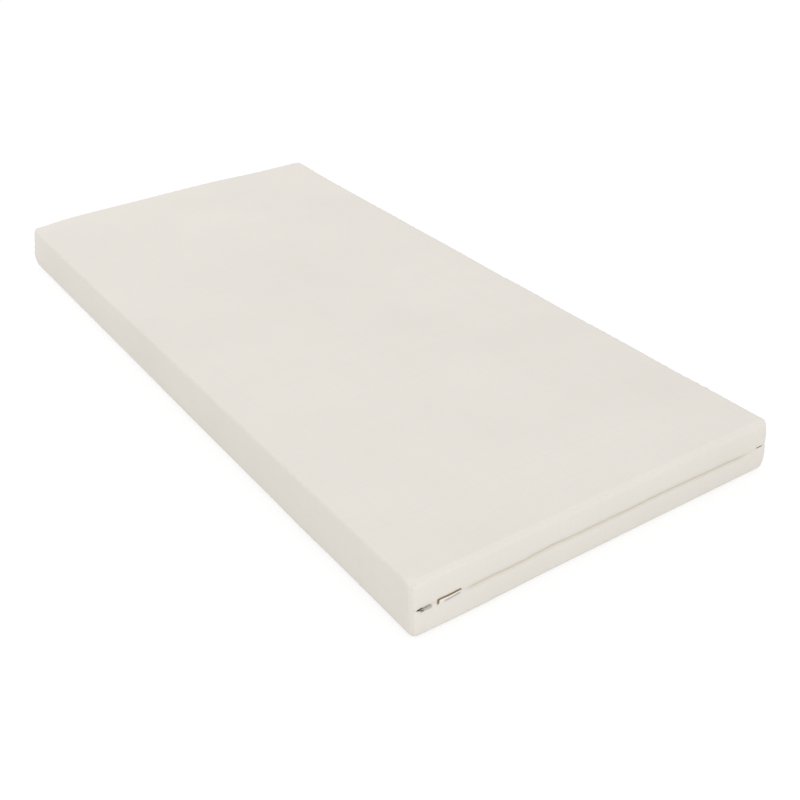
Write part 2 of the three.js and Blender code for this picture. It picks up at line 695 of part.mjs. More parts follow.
function addStops() {
  const end = new THREE.Group();
  end.applyMatrix4(faceMatrix(HALF_LENGTH, -HALF_WIDTH));
  group.add(end);
  const start = COIL_START - LAYER_GAP - TOP_STOP_LENGTH;
  const outer = TOP_STOP_INNER + TOP_STOP_WIDTH;
  const upper = stopGeometry(start, TOP_STOP_LENGTH, TOP_STOP_INNER, outer);
  const lower = stopGeometry(start, TOP_STOP_LENGTH, -outer, -TOP_STOP_INNER);
  addPiece(end, 'zip_top_stop_upper', upper, finish(COLOURS.metal, 0.35, 0.9));
  addPiece(end, 'zip_top_stop_lower', lower, finish(COLOURS.metal, 0.35, 0.9));
  const side = new THREE.Group();
  side.position.set(-HALF_LENGTH, HALF_WIDTH, ZIP_HEIGHT);
  side.rotation.set(-QUARTER_TURN, 0, 0);
  group.add(side);
  const far = COIL_END - LAYER_GAP - BOTTOM_STOP_LENGTH;
  const halfStop = BOTTOM_STOP_WIDTH / 2;
  const bottom = stopGeometry(far, BOTTOM_STOP_LENGTH, -halfStop, halfStop);
  addPiece(side, 'zip_bottom_stop', bottom, finish(COLOURS.metal, 0.35, 0.9));
}

function addSlider() {
  const slider = new THREE.Group();
  slider.applyMatrix4(faceMatrix(HALF_LENGTH, SLIDER_START - HALF_WIDTH));
  group.add(slider);
  addPiece(slider, 'zip_slider', sliderGeometry(), finish(COLOURS.metal, 0.3, 0.95));
  const hinge = new THREE.Group();
  hinge.position.set(HINGE_ALONG, 0, HINGE_PROUD);
  slider.add(hinge);
  addPiece(hinge, 'zip_pull_tab', tabGeometry(), finish(COLOURS.metal, 0.3, 0.95));
}

addFilling();
addCover();
addChain();
addStops();
addSlider();
addPiece(group, 'side_label', labelGeometry(), finish(COLOURS.label, 0.8));

export default group;
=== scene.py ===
"""Latex mattress for a junior bed: a boxed cotton cover with a sunk zip, a knitted inner sleeve and a
latex core full of pin holes. +X points to the zipped short end and +Y to the zipped long side. Shapes are
worked out in millimetres, which mesh_piece turns into metres; materials read metres."""
import math

import bmesh
import bpy
import numpy as np
from mathutils import Matrix, Vector


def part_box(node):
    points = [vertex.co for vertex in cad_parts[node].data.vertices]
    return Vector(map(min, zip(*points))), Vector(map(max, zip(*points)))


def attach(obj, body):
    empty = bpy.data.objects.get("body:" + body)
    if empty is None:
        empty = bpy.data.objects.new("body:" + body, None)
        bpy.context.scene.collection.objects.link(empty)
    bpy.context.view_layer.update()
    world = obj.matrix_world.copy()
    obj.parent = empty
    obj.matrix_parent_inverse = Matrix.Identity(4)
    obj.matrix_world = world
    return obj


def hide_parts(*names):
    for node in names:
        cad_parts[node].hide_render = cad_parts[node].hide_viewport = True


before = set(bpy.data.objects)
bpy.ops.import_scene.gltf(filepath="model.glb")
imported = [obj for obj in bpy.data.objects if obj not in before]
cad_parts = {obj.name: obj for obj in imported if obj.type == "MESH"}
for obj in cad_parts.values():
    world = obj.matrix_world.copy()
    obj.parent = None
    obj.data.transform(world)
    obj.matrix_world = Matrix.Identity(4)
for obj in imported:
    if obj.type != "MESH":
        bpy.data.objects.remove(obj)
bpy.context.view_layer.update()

MM = 0.001
TURN = 2 * math.pi
UP = np.array([0, 0, 1.0])
EIGHTH = math.pi / 4

# Cover, mm
HALF_X = 750
HALF_Y = 350
EDGE_Z = 97.5
CROWN = 2.5
CROWN_RUN = 0.75 * HALF_Y
BELLY = 1.5
PLAIN_BELLY = 0.3
ROLL = 11
CRISP_ROLL = 6
CRISP_FADE = 22
CLOTH = 1.2
PANEL_FILL = 0.95
LOW = np.array([-HALF_X, -HALF_Y, 0.0])
HIGH = np.array([HALF_X, HALF_Y, EDGE_Z])
ARC = ROLL * EIGHTH
BASE_FADE = 12
SWELL = 0.30

# Seams: how far the cloth keeps back, how round its edge is, then the welt, the groove and the puckers
SEAM_BACK = 0.12
SEAM_ROUND = 0.15
WELT, UPRIGHT_WELT, WELT_WIDTH = 0.22, 0.12, 1.4
GROOVE, GROOVE_REACH = 0.22, 7
PUCKER, PUCKER_REACH = 0.62, 8
OWN_PUCKER, OWN_REACH = 0.34, 4
UPRIGHT_TUG = 0.5
THREAD_SINK, THREAD_HALF, THREAD_SWELL, THREAD_FLOOR, SEAM_STITCH = 0.13, 0.21, 0.05, 1, 3

# Zip, measured from the cover's outer face inwards, and up or down from the zip line
ZIP_Z = 50.5
ZIP_ALONG = ZIP_Z - ROLL + ARC
FLAT_HALF = 17
LIP_SINK, LIP_SINK_REACH = 1.05, 2.6
LIP_DIP, LIP_DIP_REACH = 0.25, 5
LIP_FADE = 9
STITCH_OFF, STITCH_GROOVE, STITCH_GROOVE_WIDTH = 6.2, 0.16, 0.9
STITCH_PITCH, STITCH_LENGTH = 3.4, 2.7
STITCH_HALVES = np.array([0.10, 0.19, 0.22, 0.22, 0.22, 0.19, 0.10])
TAPE_SECTION = [
    (5.8, 0.8), (5.8, 3.5), (5.7, 5.6), (5.0, 7.2), (3.6, 8.9), (2.3, 10.2), (2.0, 12), (2.0, 14.9),
]
TAPE_HALF, TAPE_POINTS, TAPE_WIDTH = 0.27, 22, 17
COIL_PITCH, COIL_STEPS, COIL_SIDES = 1.7, 9, 5
COIL_DEPTH, COIL_DEEP, COIL_RISE, COIL_HIGH = 4.3, 0.60, 1.68, 0.92
WIRE_HALF, WIRE_HEAD = 0.27, 0.03

# Half the gap between the lips in each of their stretches
LIP_HALF = 0.06
PARK_HALF = 1.7
SHUT_HALF = 0.03
LABEL_HALF = 0.32
NECK_HALF = 1.04
UNEVEN_HALF = 0.03

# Grid of a strip beside the zip: shares of the way from lip to seam as (from, to, count); and how far
# from the lip the painted shade along the zip reaches, above and below it
STRIP_SHARES = [(0, 0.1, 6), (0.13, 0.3, 7), (0.35, 0.78, 9), (0.82, 1, 9)]
PAINTED_SHADE_REACH = {1: 5.4, -1: 3.9}

# Label, mm: its length, its near end's distance from the corner, and the fold's place along its tape
LABEL_LENGTH, LABEL_START, LABEL_TOP = 39.4, 42.4, 12.9
LABEL_THICK = 0.38

# Faces as (axis, side)
TOP, BOTTOM = (2, 1), (2, -1)
ZIP_END, PLAIN_END = (0, 1), (0, -1)
ZIP_SIDE, PLAIN_SIDE = (1, 1), (1, -1)
CRISP_EDGE = sorted([TOP, PLAIN_SIDE])

# Stretches along the zip: the distances where something starts, is full, begins to fade and is gone
PARK_EYE = (6.5, 11.5, 16.5, 21)
LABEL_GAP = (41, 44, 80, 83)
OPEN_LIPS = (86, 100, 691, 697)
UNEVEN_LIPS = (90, 110, 634, 664)
NECK_GAP = (671.5, 676.5, 683.5, 688.5)
WAVY_LINE = (30, 55, 635, 665)
ROUND_PARKED = (5, 9, 20, 25)
ROUND_RUNNING = (84, 98, 692, 697)
DEEP_LIPS = {ZIP_END: (86, 102, 636, 652), ZIP_SIDE: (6, 22, 1467, 1483)}

# How the zip line rises and falls along the short end: (distance from the near corner, rise), mm
END_WANDER = [
    (0, 0), (26, 0), (60, -0.5), (82, -0.9), (95, -2.5), (116, -2.3), (145, -1.6), (168, -2.8),
    (205, -1.3), (245, 1.2), (290, -0.4), (330, -0.3), (365, -0.6), (395, -1.0), (440, 0.0), (470, 0.3),
    (500, -0.4), (540, -1.4), (580, -1.8), (615, -2.1), (638, -3.6), (652, -3.5), (662, -1.8),
    (671, 0.32), (692, 0.32), (700, 0),
]
WANDER_AT, WANDER_RISE = np.array(END_WANDER, float).T

# How the foam departs from a true box: (middle, reach along each axis, step), mm
SETTLING = [
    ((-750, -350, 98), (65, 60, 45), (5.5, 5.0, -3.5)),
    ((750, 350, 0), (90, 60, 60), (0, 8.0, 0)),
    ((-750, 80, 98), (120, 260, 70), (-5.0, 0, 3.2)),
    ((150, -350, 0), (300, 60, 40), (0, -1.5, 0)),
    ((0, -350, 0), (1500, 60, 40), (0, 1.2, 0)),
    ((-750, -350, 0), (150, 60, 40), (0, 1.3, 0)),
    ((450, -350, 0), (90, 60, 40), (0, -1.1, 0)),
    ((-750, -350, 27), (60, 60, 19), (-2.2, -3.2, 0)),
    ((250, 350, 98), (600, 60, 60), (0, 0, -1.3)),
    ((750, -255, 0), (60, 100, 35), (2.2, 0, 0)),
    ((-435, 263, 100), (14, 14, 30), (0, 0, -1.0)),
    ((742, -342, 98), (7, 7, 25), (0, 0, -1.6)),
    ((-750, 350, 98), (70, 70, 30), (-2.5, 2.5, 1.2)),
    ((-750, 350, 98), (13, 13, 30), (4.0, -4.0, -1.2)),
]

# Core and sleeve, mm
CORE_GAP, CORE_ROLL, PIN_MARGIN, PIN_PITCH, PIN_HALF, PIN_MOUTH = 0.6, 10, 22, 30, 3, 0.8
SLEEVE_BACK, SLEEVE_ROLL, SLEEVE_HEM, SLEEVE_CELL, SLEEVE_WALL = (0.3, 0.2), 11, 14, 14, 0.5
WELD_REACH = 0.02

# Pitches of the woven and knitted patterns, in metres
WEAVE_PITCH, WEAVE_BEND = 0.0006, 0.0012
TAPE_RIDGE, TAPE_ZIG = 0.0007, 0.0011
KNIT_COLUMN, KNIT_ROW = 0.0007, 0.0010
LABEL_RIDGE = 0.00045

# Studio: the floor in metres, the light's strengths and places, and the photograph's camera
FLOOR_REACH, FLOOR_Z = 40.0, -0.0006
FLOOR_GLOW = 0.74
WHITE = (1, 1, 1, 1)
SKY = 0.846
KEY, KEY_FROM, KEY_SPREAD = 0.41, (0.8, 0.0, 0.6), 50
FILL, FILL_AT, FILL_WIDTH = 9.8, (-2.6, -1.6, 1.2), 1.6
NEAR_FILL, NEAR_FILL_AT, NEAR_FILL_WIDTH = 3.7, (2.5, -1.5, 0.6), 0.8
CAMERA_AT = (1.6989, -0.9964, 1.0855)
CAMERA_TURN = (56.234, 31.409, -1.083)
SENSOR, FOCAL_PIXELS, FRAME_PIXELS = 36.0, 1142.9, 800


# Fields over the cover

def smooth(x):
    """3x^2 - 2x^3 of x held between 0 and 1."""
    x = np.clip(x, 0, 1)
    return x * x * (3 - 2 * x)


def window(x, start, full, fading, gone):
    """A smooth rise from 0 to 1 between start and full, and a smooth fall between fading and gone."""
    return smooth((x - start) / (full - start)) * smooth((gone - x) / (gone - fading))


def bell(x):
    """e to the minus x squared."""
    return np.exp(-x ** 2)


def unit(v):
    """Vectors of length one."""
    return v / np.maximum(np.linalg.norm(v, axis=-1, keepdims=True), 1e-12)


def sines(x, rng, short, long, count):
    """A sum of sines of x with seeded periods from short to long, over the root of half their number."""
    periods = short * (long / short) ** rng.random(count)
    phases = rng.random(count) * TURN
    return np.sin(TURN * x / periods + phases).sum(-1) / math.sqrt(count / 2)


def ripple(x, seed, short, long):
    """Irregular wave along x: six sines."""
    return sines(np.asarray(x)[..., None], np.random.default_rng(seed), short, long, 6) / 1.6


def foam_swell(point):
    """The foam's slow swell in space: twelve sines along seeded directions."""
    rng = np.random.default_rng(11)
    way = unit(rng.normal(size=(12, 3)))
    return SWELL * sines(point @ way.T, rng, 130, 500, 12)


def over_axes(face):
    """The two axes that a face's own walks s and t follow."""
    return (face[0] + 1) % 3, (face[0] + 2) % 3


def walk(axis):
    """Distance over the cloth from seam to seam: the straight part and an eighth turn of each roll."""
    return HIGH[axis] - LOW[axis] - 2 * ROLL + 2 * ARC


def sharp(e, axis):
    """Coordinate on the sharp box at a distance e over the cloth from the low seam: r(1 - tan(45 deg - e/r))
    on the low roll, straight on, and mirrored on the high roll."""
    back = walk(axis) - e
    near = np.minimum(e, back)
    on_roll = ROLL * (1 - np.tan(EIGHTH - np.minimum(near, ARC) / ROLL))
    inward = np.where(near < ARC, on_roll, ROLL + near - ARC)
    return np.where(e <= back, LOW[axis] + inward, HIGH[axis] - inward)


def corner_distance(a):
    """Distance from the near sharp corner for a walk a along the zipped end's cloth."""
    return np.asarray(a, float) - ARC + ROLL


def zip_rise(face, a):
    """Height of the zip line above ZIP_Z: through END_WANDER with rounded steps on the short end, and a
    slight wave on the long side that dies out at its corners."""
    if face == ZIP_END:
        at = corner_distance(a)
        nearby = np.linspace(-9, 9, 13)
        kernel = bell(nearby / 5)
        line = (np.interp(at[..., None] + nearby, WANDER_AT, WANDER_RISE) * kernel).sum(-1) / kernel.sum()
        return line + 0.25 * ripple(at, 71, 20, 60) * window(at, *WAVY_LINE)
    calm = window(a, 0, 80, walk(0) - 80, walk(0))
    return calm * (0.9 * ripple(a, 72, 250, 700) + 0.25 * ripple(a, 73, 30, 90))


def lip_gap(face, a):
    """Half the gap between the lips: shut at the zip's two ends, an eye round the parked slider, a gap for
    the label, then a narrow uneven gap, wider where the slider's neck stops last."""
    if face == ZIP_END:
        at = corner_distance(a)
        eye = PARK_HALF * window(at, *PARK_EYE) + LABEL_HALF * window(at, *LABEL_GAP)
        uneven = UNEVEN_HALF * ripple(at, 74, 30, 110) * window(at, *UNEVEN_LIPS)
        neck = (NECK_HALF - LIP_HALF) * window(at, *NECK_GAP)
        return SHUT_HALF + eye + window(at, *OPEN_LIPS) * (LIP_HALF - SHUT_HALF + uneven + neck)
    uneven = UNEVEN_HALF * ripple(a, 75, 40, 130) * window(a, 40, 90, walk(0) - 50, walk(0))
    return SHUT_HALF + smooth((a - 16) / 10) * (LIP_HALF - SHUT_HALF + uneven)


def lip_round(face, a):
    """How round the lips' edges are: 1, a half circle, on the long side and round the parked slider, half
    that along the short end's run, and nearly square where they are tacked shut."""
    if face == ZIP_SIDE:
        return np.ones_like(np.asarray(a, float))
    at = corner_distance(a)
    return 0.25 + 0.75 * np.maximum(window(at, *ROUND_PARKED), 0.3 * window(at, *ROUND_RUNNING))


def lip_depth(face, a):
    """How far the lips roll in, from 0 to 1: little beside the slider's two stops and the label."""
    return window(a, *DEEP_LIPS[face])


def lip_distance(face, a, c):
    """Distance over the cloth from the edge of the nearer lip."""
    return np.maximum(np.abs(c - ZIP_ALONG - zip_rise(face, a)) - lip_gap(face, a), 0)


def along_across(face, s, t):
    """Walks along and across the zip from a face's own two, or the other way round."""
    return (s, t) if face == ZIP_END else (t, s)


def seam_number(face, crossed, high, along):
    """A number for the seam where a face meets its neighbour, the same seen from either face."""
    axis, sign = face
    ends = sorted([(axis, sign > 0), (crossed, high)])
    return 100 * along + 10 * (ends[0][1] + 2 * ends[1][1]) + 3


def crispness(e):
    """How far the crisp edge, a roll of CRISP_ROLL between the same two flats, stands outside the plain roll:
    along a ray at the angle e/r from the seam, the nearer of the smaller arc and the flat."""
    turn = np.minimum(e / ROLL, EIGHTH)
    apart = ROLL - CRISP_ROLL
    reach = np.sqrt(np.maximum(CRISP_ROLL ** 2 - 2 * (apart * np.sin(turn)) ** 2, 0))
    on_arc = math.sqrt(2) * apart * np.cos(turn) + reach
    on_flat = ROLL / np.cos(EIGHTH - turn)
    return np.where(ROLL * np.tan(EIGHTH - turn) > apart, on_arc, on_flat) - ROLL


def relief(face, s, t, point):
    """How far the cloth stands out from the plain rounded box: the foam's swell; a welt, a groove and small
    puckers along each seam, which fade over a centimetre; the lips' turned-in edges and stitch rows. It all
    dies out where the cover lies on its base."""
    zipped = face in DEEP_LIPS
    height = foam_swell(point)
    if zipped:
        height *= (0.12 + 0.88 * smooth((np.abs(point[..., 2] - ZIP_Z) - 8) / 22))
    u, v = over_axes(face)
    for crossed, along, walked in ((u, v, s), (v, u, t)):
        for high in (False, True):
            e = walk(crossed) - walked if high else walked
            seam = seam_number(face, crossed, high, along)
            line = point[..., along]
            upright = along == 2
            tug = UPRIGHT_TUG if upright else 1.0
            pull = ripple(line, seam, 12, 34) * (0.7 + 0.5 * ripple(line, seam + 1, 80, 300))
            own = ripple(line, seam + 7 + face[0], 10, 28)
            if sorted([face, (crossed, 1 if high else -1)]) == CRISP_EDGE:
                height += crispness(e) * smooth((HALF_X - np.abs(line)) / CRISP_FADE)
            height += (UPRIGHT_WELT if upright else WELT) * bell(e / WELT_WIDTH)
            height -= GROOVE * np.exp(-e / GROOVE_REACH)
            height += tug * PUCKER * pull * np.exp(-e / PUCKER_REACH)
            height += tug * OWN_PUCKER * own * (e / OWN_REACH) * np.exp(1 - e / OWN_REACH)
    if zipped:
        a, c = along_across(face, s, t)
        off = lip_distance(face, a, c)
        sunk = LIP_SINK * bell(off / LIP_SINK_REACH) + LIP_DIP * bell(off / LIP_DIP_REACH)
        height -= sunk * (0.30 + 0.70 * lip_depth(face, a)) * smooth(a / LIP_FADE)
        height -= STITCH_GROOVE * bell((off - STITCH_OFF) / STITCH_GROOVE_WIDTH)
        height += 0.1 * ripple(a, 81, 6, 20) * np.exp(-off / 5) * np.sign(c - ZIP_ALONG)
    return height * smooth(point[..., 2] / BASE_FADE)


def settled(point):
    """The foam's own slack from a true box, for whatever lies in or on it: each row of SETTLING moves the
    points near one place by its step, times a bell of the distance along each axis."""
    moved = point.copy()
    for place, reach, step in SETTLING:
        away = (point - np.array(place)) / np.array(reach)
        moved += np.exp(-(away ** 2).sum(-1, keepdims=True)) * np.array(step)
    return moved


def upper(z):
    """From 0 in the lower three quarters of the height to 1 at the top."""
    return smooth(z / EDGE_Z * 4 - 3)


def filled(point, plain):
    """How a full cover departs from its plain box: the sides draw in above and below the zip's height, the
    top rises to its crown, and the whole settles."""
    point = point.copy()
    z = plain[..., 2]
    below = (ZIP_Z - FLAT_HALF - z) / (ZIP_Z - FLAT_HALF - ROLL)
    above = (z - ZIP_Z - FLAT_HALF) / (EDGE_Z - ROLL - ZIP_Z - FLAT_HALF)
    inset = BELLY * np.clip(np.maximum(below, above), 0, 1) ** 2
    rise_x, rise_y = (
        np.clip((half - BELLY - ROLL - np.abs(plain[..., axis])) / CROWN_RUN, 0, 1)
        for axis, half in enumerate((HALF_X, HALF_Y))
    )
    crown = CROWN * (1 - (1 - rise_x) ** 2) * (1 - (1 - rise_y) ** 2)
    side = PLAIN_BELLY + (1 - PLAIN_BELLY) * smooth(0.5 + 0.5 * plain[..., 1] / HALF_Y)
    point[..., 0] *= 1 - inset / HALF_X
    point[..., 1] *= 1 - side * inset / HALF_Y
    point[..., 2] += crown * upper(z)
    return settled(point)


def cloth_point(face, s, t, sink=0.0):
    """Point of the cover: the box drawn in by the roll's radius, plus that radius and the relief along the
    way out of it, then filled."""
    s, t = np.broadcast_arrays(np.asarray(s, float), np.asarray(t, float))
    axis, sign = face
    u, v = over_axes(face)
    box = np.empty(s.shape + (3,))
    box[..., axis] = (HIGH if sign > 0 else LOW)[axis]
    box[..., u] = sharp(s, u)
    box[..., v] = sharp(t, v)
    inner = np.clip(box, LOW + ROLL, HIGH - ROLL)
    out = unit(box - inner)
    plain = inner + ROLL * out
    return filled(inner + (ROLL + relief(face, s, t, plain) - sink)[..., None] * out, plain)


def cloth_normal(face, s, t):
    """Outward direction of the cover: the cross product of its two slopes."""
    step = 0.1
    across = cloth_point(face, s + step, t) - cloth_point(face, s - step, t)
    along = cloth_point(face, s, t + step) - cloth_point(face, s, t - step)
    return unit(np.cross(across, along) * face[1])


# Meshes

def added(name, data):
    """An object with this data, put in the scene."""
    thing = bpy.data.objects.new(name, data)
    bpy.context.scene.collection.objects.link(thing)
    return thing


def metres(values, wide):
    """Rows of millimetres as metres, in the mesh's own precision."""
    return (np.asarray(values).reshape(-1, wide) * MM).astype(np.float32)


def mesh_piece(name, points, quads, material, slot, replaces=(), uv=None, fill=None, caps=(), zip_painted_shade=None):
    """A mesh object from points, quads and a few larger faces, which rides on the mattress; uv is its place
    on the flat cloth."""
    mesh = bpy.data.meshes.new(name)
    points = metres(points, 3)
    loops = np.concatenate([quads.ravel(), *caps]).astype(np.int32)
    sizes = np.array([4] * len(quads) + [len(cap) for cap in caps], np.int32)
    mesh.vertices.add(len(points))
    mesh.vertices.foreach_set("co", points.ravel())
    mesh.loops.add(len(loops))
    mesh.loops.foreach_set("vertex_index", loops)
    mesh.polygons.add(len(sizes))
    mesh.polygons.foreach_set("loop_start", (np.cumsum(sizes) - sizes).astype(np.int32))
    mesh.polygons.foreach_set("loop_total", sizes)
    mesh.update(calc_edges=True)
    mesh.validate()
    if uv is not None:
        index = np.empty(len(mesh.loops), np.int32)
        mesh.loops.foreach_get("vertex_index", index)
        mesh.uv_layers.new(name="cloth").data.foreach_set("uv", metres(uv, 2)[index].ravel())
    if zip_painted_shade is not None:
        shade = mesh.attributes.new("zip_painted_shade", "FLOAT", "POINT")
        shade.data.foreach_set("value", zip_painted_shade.astype(np.float32))
    mesh.materials.append(material)
    smooth_faces(mesh)
    piece = added(name, mesh)
    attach(piece, "mattress")
    if replaces:
        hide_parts(*replaces)
    return piece


def smooth_faces(mesh):
    """Shades a mesh's faces smoothly."""
    mesh.polygons.foreach_set("use_smooth", np.ones(len(mesh.polygons), bool))


def modified(piece, label, kind, **settings):
    """Gives a piece a modifier with its settings."""
    modifier = piece.modifiers.new(label, kind)
    for key, value in settings.items():
        setattr(modifier, key, value)


def grid_quads(rows, columns, closed_columns=False):
    """Quads of a grid of points numbered row by row; closed columns join the last one to the first."""
    i, j = np.meshgrid(np.arange(rows - 1), np.arange(columns - (not closed_columns)), indexing="ij")
    beside = (j + 1) % columns
    here, next_row = i * columns, (i + 1) * columns
    return np.stack([here + j, next_row + j, next_row + beside, here + beside], -1).reshape(-1, 4)


def repeated(quads, step, count):
    """The same quads for each of count like shapes, whose points are numbered step apart."""
    return (quads + step * np.arange(count)[:, None, None]).reshape(-1, 4)


def joined(parts):
    """Points and faces of several parts, numbered on."""
    points, faces, count = [], [], 0
    for p, f in parts:
        points.append(p)
        faces.append(f + count)
        count += len(p)
    return np.concatenate(points), np.concatenate(faces)


def tube_faces(rows, columns, turned):
    """Quads round a tube, and its first and last rings as one face each; all turned over if asked."""
    quads = grid_quads(rows, columns, closed_columns=True)
    caps = [np.arange(columns), (rows - 1) * columns + np.arange(columns)[::-1]]
    return (quads[:, ::-1], [cap[::-1] for cap in caps]) if turned else (quads, caps)


def reworked(piece, change):
    """Makes one bmesh change to a piece's mesh and turns its faces outwards."""
    work = bmesh.new()
    work.from_mesh(piece.data)
    change(work)
    bmesh.ops.recalc_face_normals(work, faces=work.faces)
    work.to_mesh(piece.data)
    work.free()


def close_ends(work):
    """Fills the open ends of tubes."""
    bmesh.ops.holes_fill(work, edges=[e for e in work.edges if e.is_boundary], sides=12)


def weld_points(work):
    """Joins points that lie in the same place."""
    bmesh.ops.remove_doubles(work, verts=work.verts, dist=WELD_REACH * MM)


def shell(outer, out, thickness, rounds, bulge):
    """A closed thin body from a grid of outer points and their outward directions: the grid again one
    thickness inside it, and all round the edge a half ellipse from the outer grid to the inner one, whose
    width to depth is bulge, given for each grid point. Also, for each of its points, the grid point it is
    from."""
    n, m = outer.shape[:2]
    inner = outer - thickness * out
    edge = np.zeros_like(outer)
    for line, into in ((0, 1), (-1, -2)):
        edge[line] += unit(outer[line] - outer[into])
        edge[:, line] += unit(outer[:, line] - outer[:, into])
    down, back = np.arange(n), np.arange(m)
    i = np.concatenate([down, np.full(m - 1, n - 1), down[-2::-1], np.zeros(m - 2, int)])
    j = np.concatenate([0 * down, back[1:], np.full(n - 1, m - 1), back[-2:0:-1]])
    edge = unit(edge[i, j] - (edge[i, j] * out[i, j]).sum(-1, keepdims=True) * out[i, j])
    middle = outer[i, j] - thickness / 2 * out[i, j]
    turn = math.pi * np.arange(1, rounds + 1)[:, None, None] / (rounds + 1)
    rim = middle + thickness / 2 * (np.cos(turn) * out[i, j] + bulge[i, j][:, None] * np.sin(turn) * edge)
    points = np.concatenate([outer.reshape(-1, 3), inner.reshape(-1, 3), rim.reshape(-1, 3)])
    count = n * m
    loop = i * m + j
    between = 2 * count + np.arange(rounds * len(loop)).reshape(rounds, -1)
    lines = np.concatenate([loop[None], between, loop[None] + count])
    here, there = lines[:-1], lines[1:]
    band = np.stack([here, np.roll(here, -1, 1), np.roll(there, -1, 1), there], -1).reshape(-1, 4)
    flat = grid_quads(n, m)
    quads = np.concatenate([flat, flat[:, ::-1] + count, band[:, ::-1]])
    source = np.concatenate([np.arange(count), np.arange(count), np.tile(loop, rounds)])
    return points, quads, source


def stations(total, coarse, fine=1.4, growth=1.3):
    """Distances from one seam to the other: eight over each roll, then steps that grow from fine to coarse
    in the middle."""
    count = math.ceil(math.log(coarse / fine) / math.log(growth))
    ramp = np.cumsum(fine * growth ** np.arange(count))
    low = np.concatenate([np.linspace(SEAM_BACK, ARC, 8), ARC + ramp])
    middle = total - 2 * low[-1]
    steps = max(1, round(middle / coarse))
    return np.concatenate([low, low[-1] + middle * np.arange(1, steps) / steps, total - low[::-1]])


def tube(line, radius, sides, reference):
    """Rings of a tube round a line: radius times the cosine along one way across and the sine along the
    other, both square to the line, the second one also to a reference."""
    ahead = unit(np.gradient(line, axis=-2))
    first = unit(reference - (reference * ahead).sum(-1, keepdims=True) * ahead)
    second = np.cross(ahead, first)
    turn = TURN * np.arange(sides) / sides
    radius = np.broadcast_to(radius, line.shape[:-1])[..., None, None]
    ring = np.cos(turn)[:, None] * first[..., None, :] + np.sin(turn)[:, None] * second[..., None, :]
    return line[..., None, :] + radius * ring


def zip_path(start, end, step):
    """Points on the cover's outer face along the zip line, with the outward direction there: straight along
    the short end, a quarter circle of the roll's radius, and straight along the long side."""
    straight = 2 * HALF_Y - ROLL
    turn = ROLL * math.pi / 2
    w = np.arange(start, straight + turn + 2 * HALF_X - ROLL - end, step)
    angle = np.clip((w - straight) / ROLL, 0, math.pi / 2)
    on_end, on_side = np.minimum(w, straight), np.maximum(w - straight - turn, 0)
    out = np.stack([np.cos(angle), np.sin(angle), 0 * w], -1)
    base = np.stack([HALF_X - ROLL - on_side, on_end - HALF_Y, ZIP_Z + 0 * w], -1) + ROLL * out
    end_rise = zip_rise(ZIP_END, on_end - ROLL + ARC)
    base[:, 2] += np.where(w < straight, end_rise, zip_rise(ZIP_SIDE, walk(0) - ARC - on_side))
    return w, settled(base), out


def smooth_line(knots, count):
    """A line through the knots with rounded bends: cubic pieces whose slope at a knot is half the step
    between its neighbours."""
    p = np.asarray(knots, float)
    p = np.concatenate([[2 * p[0] - p[1]], p, [2 * p[-1] - p[-2]]])
    w = np.linspace(0, len(p) - 3 - 1e-9, count)
    k = w.astype(int)
    f = (w - k)[:, None]
    a, b, c, d = p[k], p[k + 1], p[k + 2], p[k + 3]
    square, cube = 2 * a - 5 * b + 4 * c - d, 3 * b - a - 3 * c + d
    return b + 0.5 * ((c - a) * f + square * f ** 2 + cube * f ** 3)


def cloth_panel(name, face, s, t, bulge, material, zip_painted_shade=None):
    """One panel or border of the cover from its two walks, given as grids."""
    points, quads, source = shell(cloth_point(face, s, t), cloth_normal(face, s, t), CLOTH, 3, bulge)
    if face[1] < 0:
        quads = quads[:, ::-1]
    uv = np.stack([s, t], -1).reshape(-1, 2)[source]
    zip_painted_shade = None if zip_painted_shade is None else zip_painted_shade.reshape(-1)[source]
    solid = "cover_" + name + ("_panel" if face in (TOP, BOTTOM) else "_border")
    mesh_piece(name + "_cloth", points, quads, material, "cotton", [solid], uv, PANEL_FILL, zip_painted_shade=zip_painted_shade)


def plain_panel(name, face, material, coarse):
    """A panel or border without a zip, on a grid that is fine beside its seams."""
    s, t = (stations(walk(axis), min(coarse, walk(axis) / 30)) for axis in over_axes(face))
    s, t = np.meshgrid(s, t, indexing="ij")
    cloth_panel(name, face, s, t, np.full(s.shape, SEAM_ROUND), material)


def zip_length(face):
    """Length of the cloth along the zip on one of the two zipped faces."""
    return walk(1 if face == ZIP_END else 0)


def zip_panel(name, face, side, material, coarse):
    """A strip above (side 1) or below (side -1) the zip: from its lip, at the gap's edge, to the seam of the
    top or bottom panel."""
    a = stations(zip_length(face), coarse)
    if face == ZIP_END:
        a = np.unique(np.concatenate([a, np.arange(4, 40, 1.5), np.arange(668, 691, 1.5)]))
    share = np.concatenate([np.linspace(*run) for run in STRIP_SHARES])
    lip = lip_gap(face, a) + CLOTH / 2 * lip_round(face, a)
    near = (ZIP_ALONG + zip_rise(face, a) + side * lip)[:, None]
    far = walk(2) - SEAM_BACK if side > 0 else SEAM_BACK
    c = near + (far - near) * share
    a = np.broadcast_to(a[:, None], c.shape)
    bulge = np.where(share == 0, lip_round(face, a), SEAM_ROUND)
    # Painted shade along the zip: strongest at the lips, fading with distance, weaker where the lips roll in
    # little
    zip_painted_shade = bell(lip_distance(face, a, c) / PAINTED_SHADE_REACH[side]) * (0.1 + 0.9 * lip_depth(face, a))
    grids = [a, c, bulge, zip_painted_shade]
    if side < 0:
        grids = [grid[:, ::-1] for grid in grids]
    if face == ZIP_SIDE:
        grids = [grid.T for grid in grids]
    a, c, bulge, zip_painted_shade = grids
    s, t = along_across(face, a, c)
    cloth_panel(name, face, s, t, bulge, material, zip_painted_shade)


# Materials

def give(tree, socket, value):
    """Links another socket to this one, or sets a constant on it."""
    if isinstance(value, bpy.types.NodeSocket):
        tree.links.new(value, socket)
    else:
        socket.default_value = value


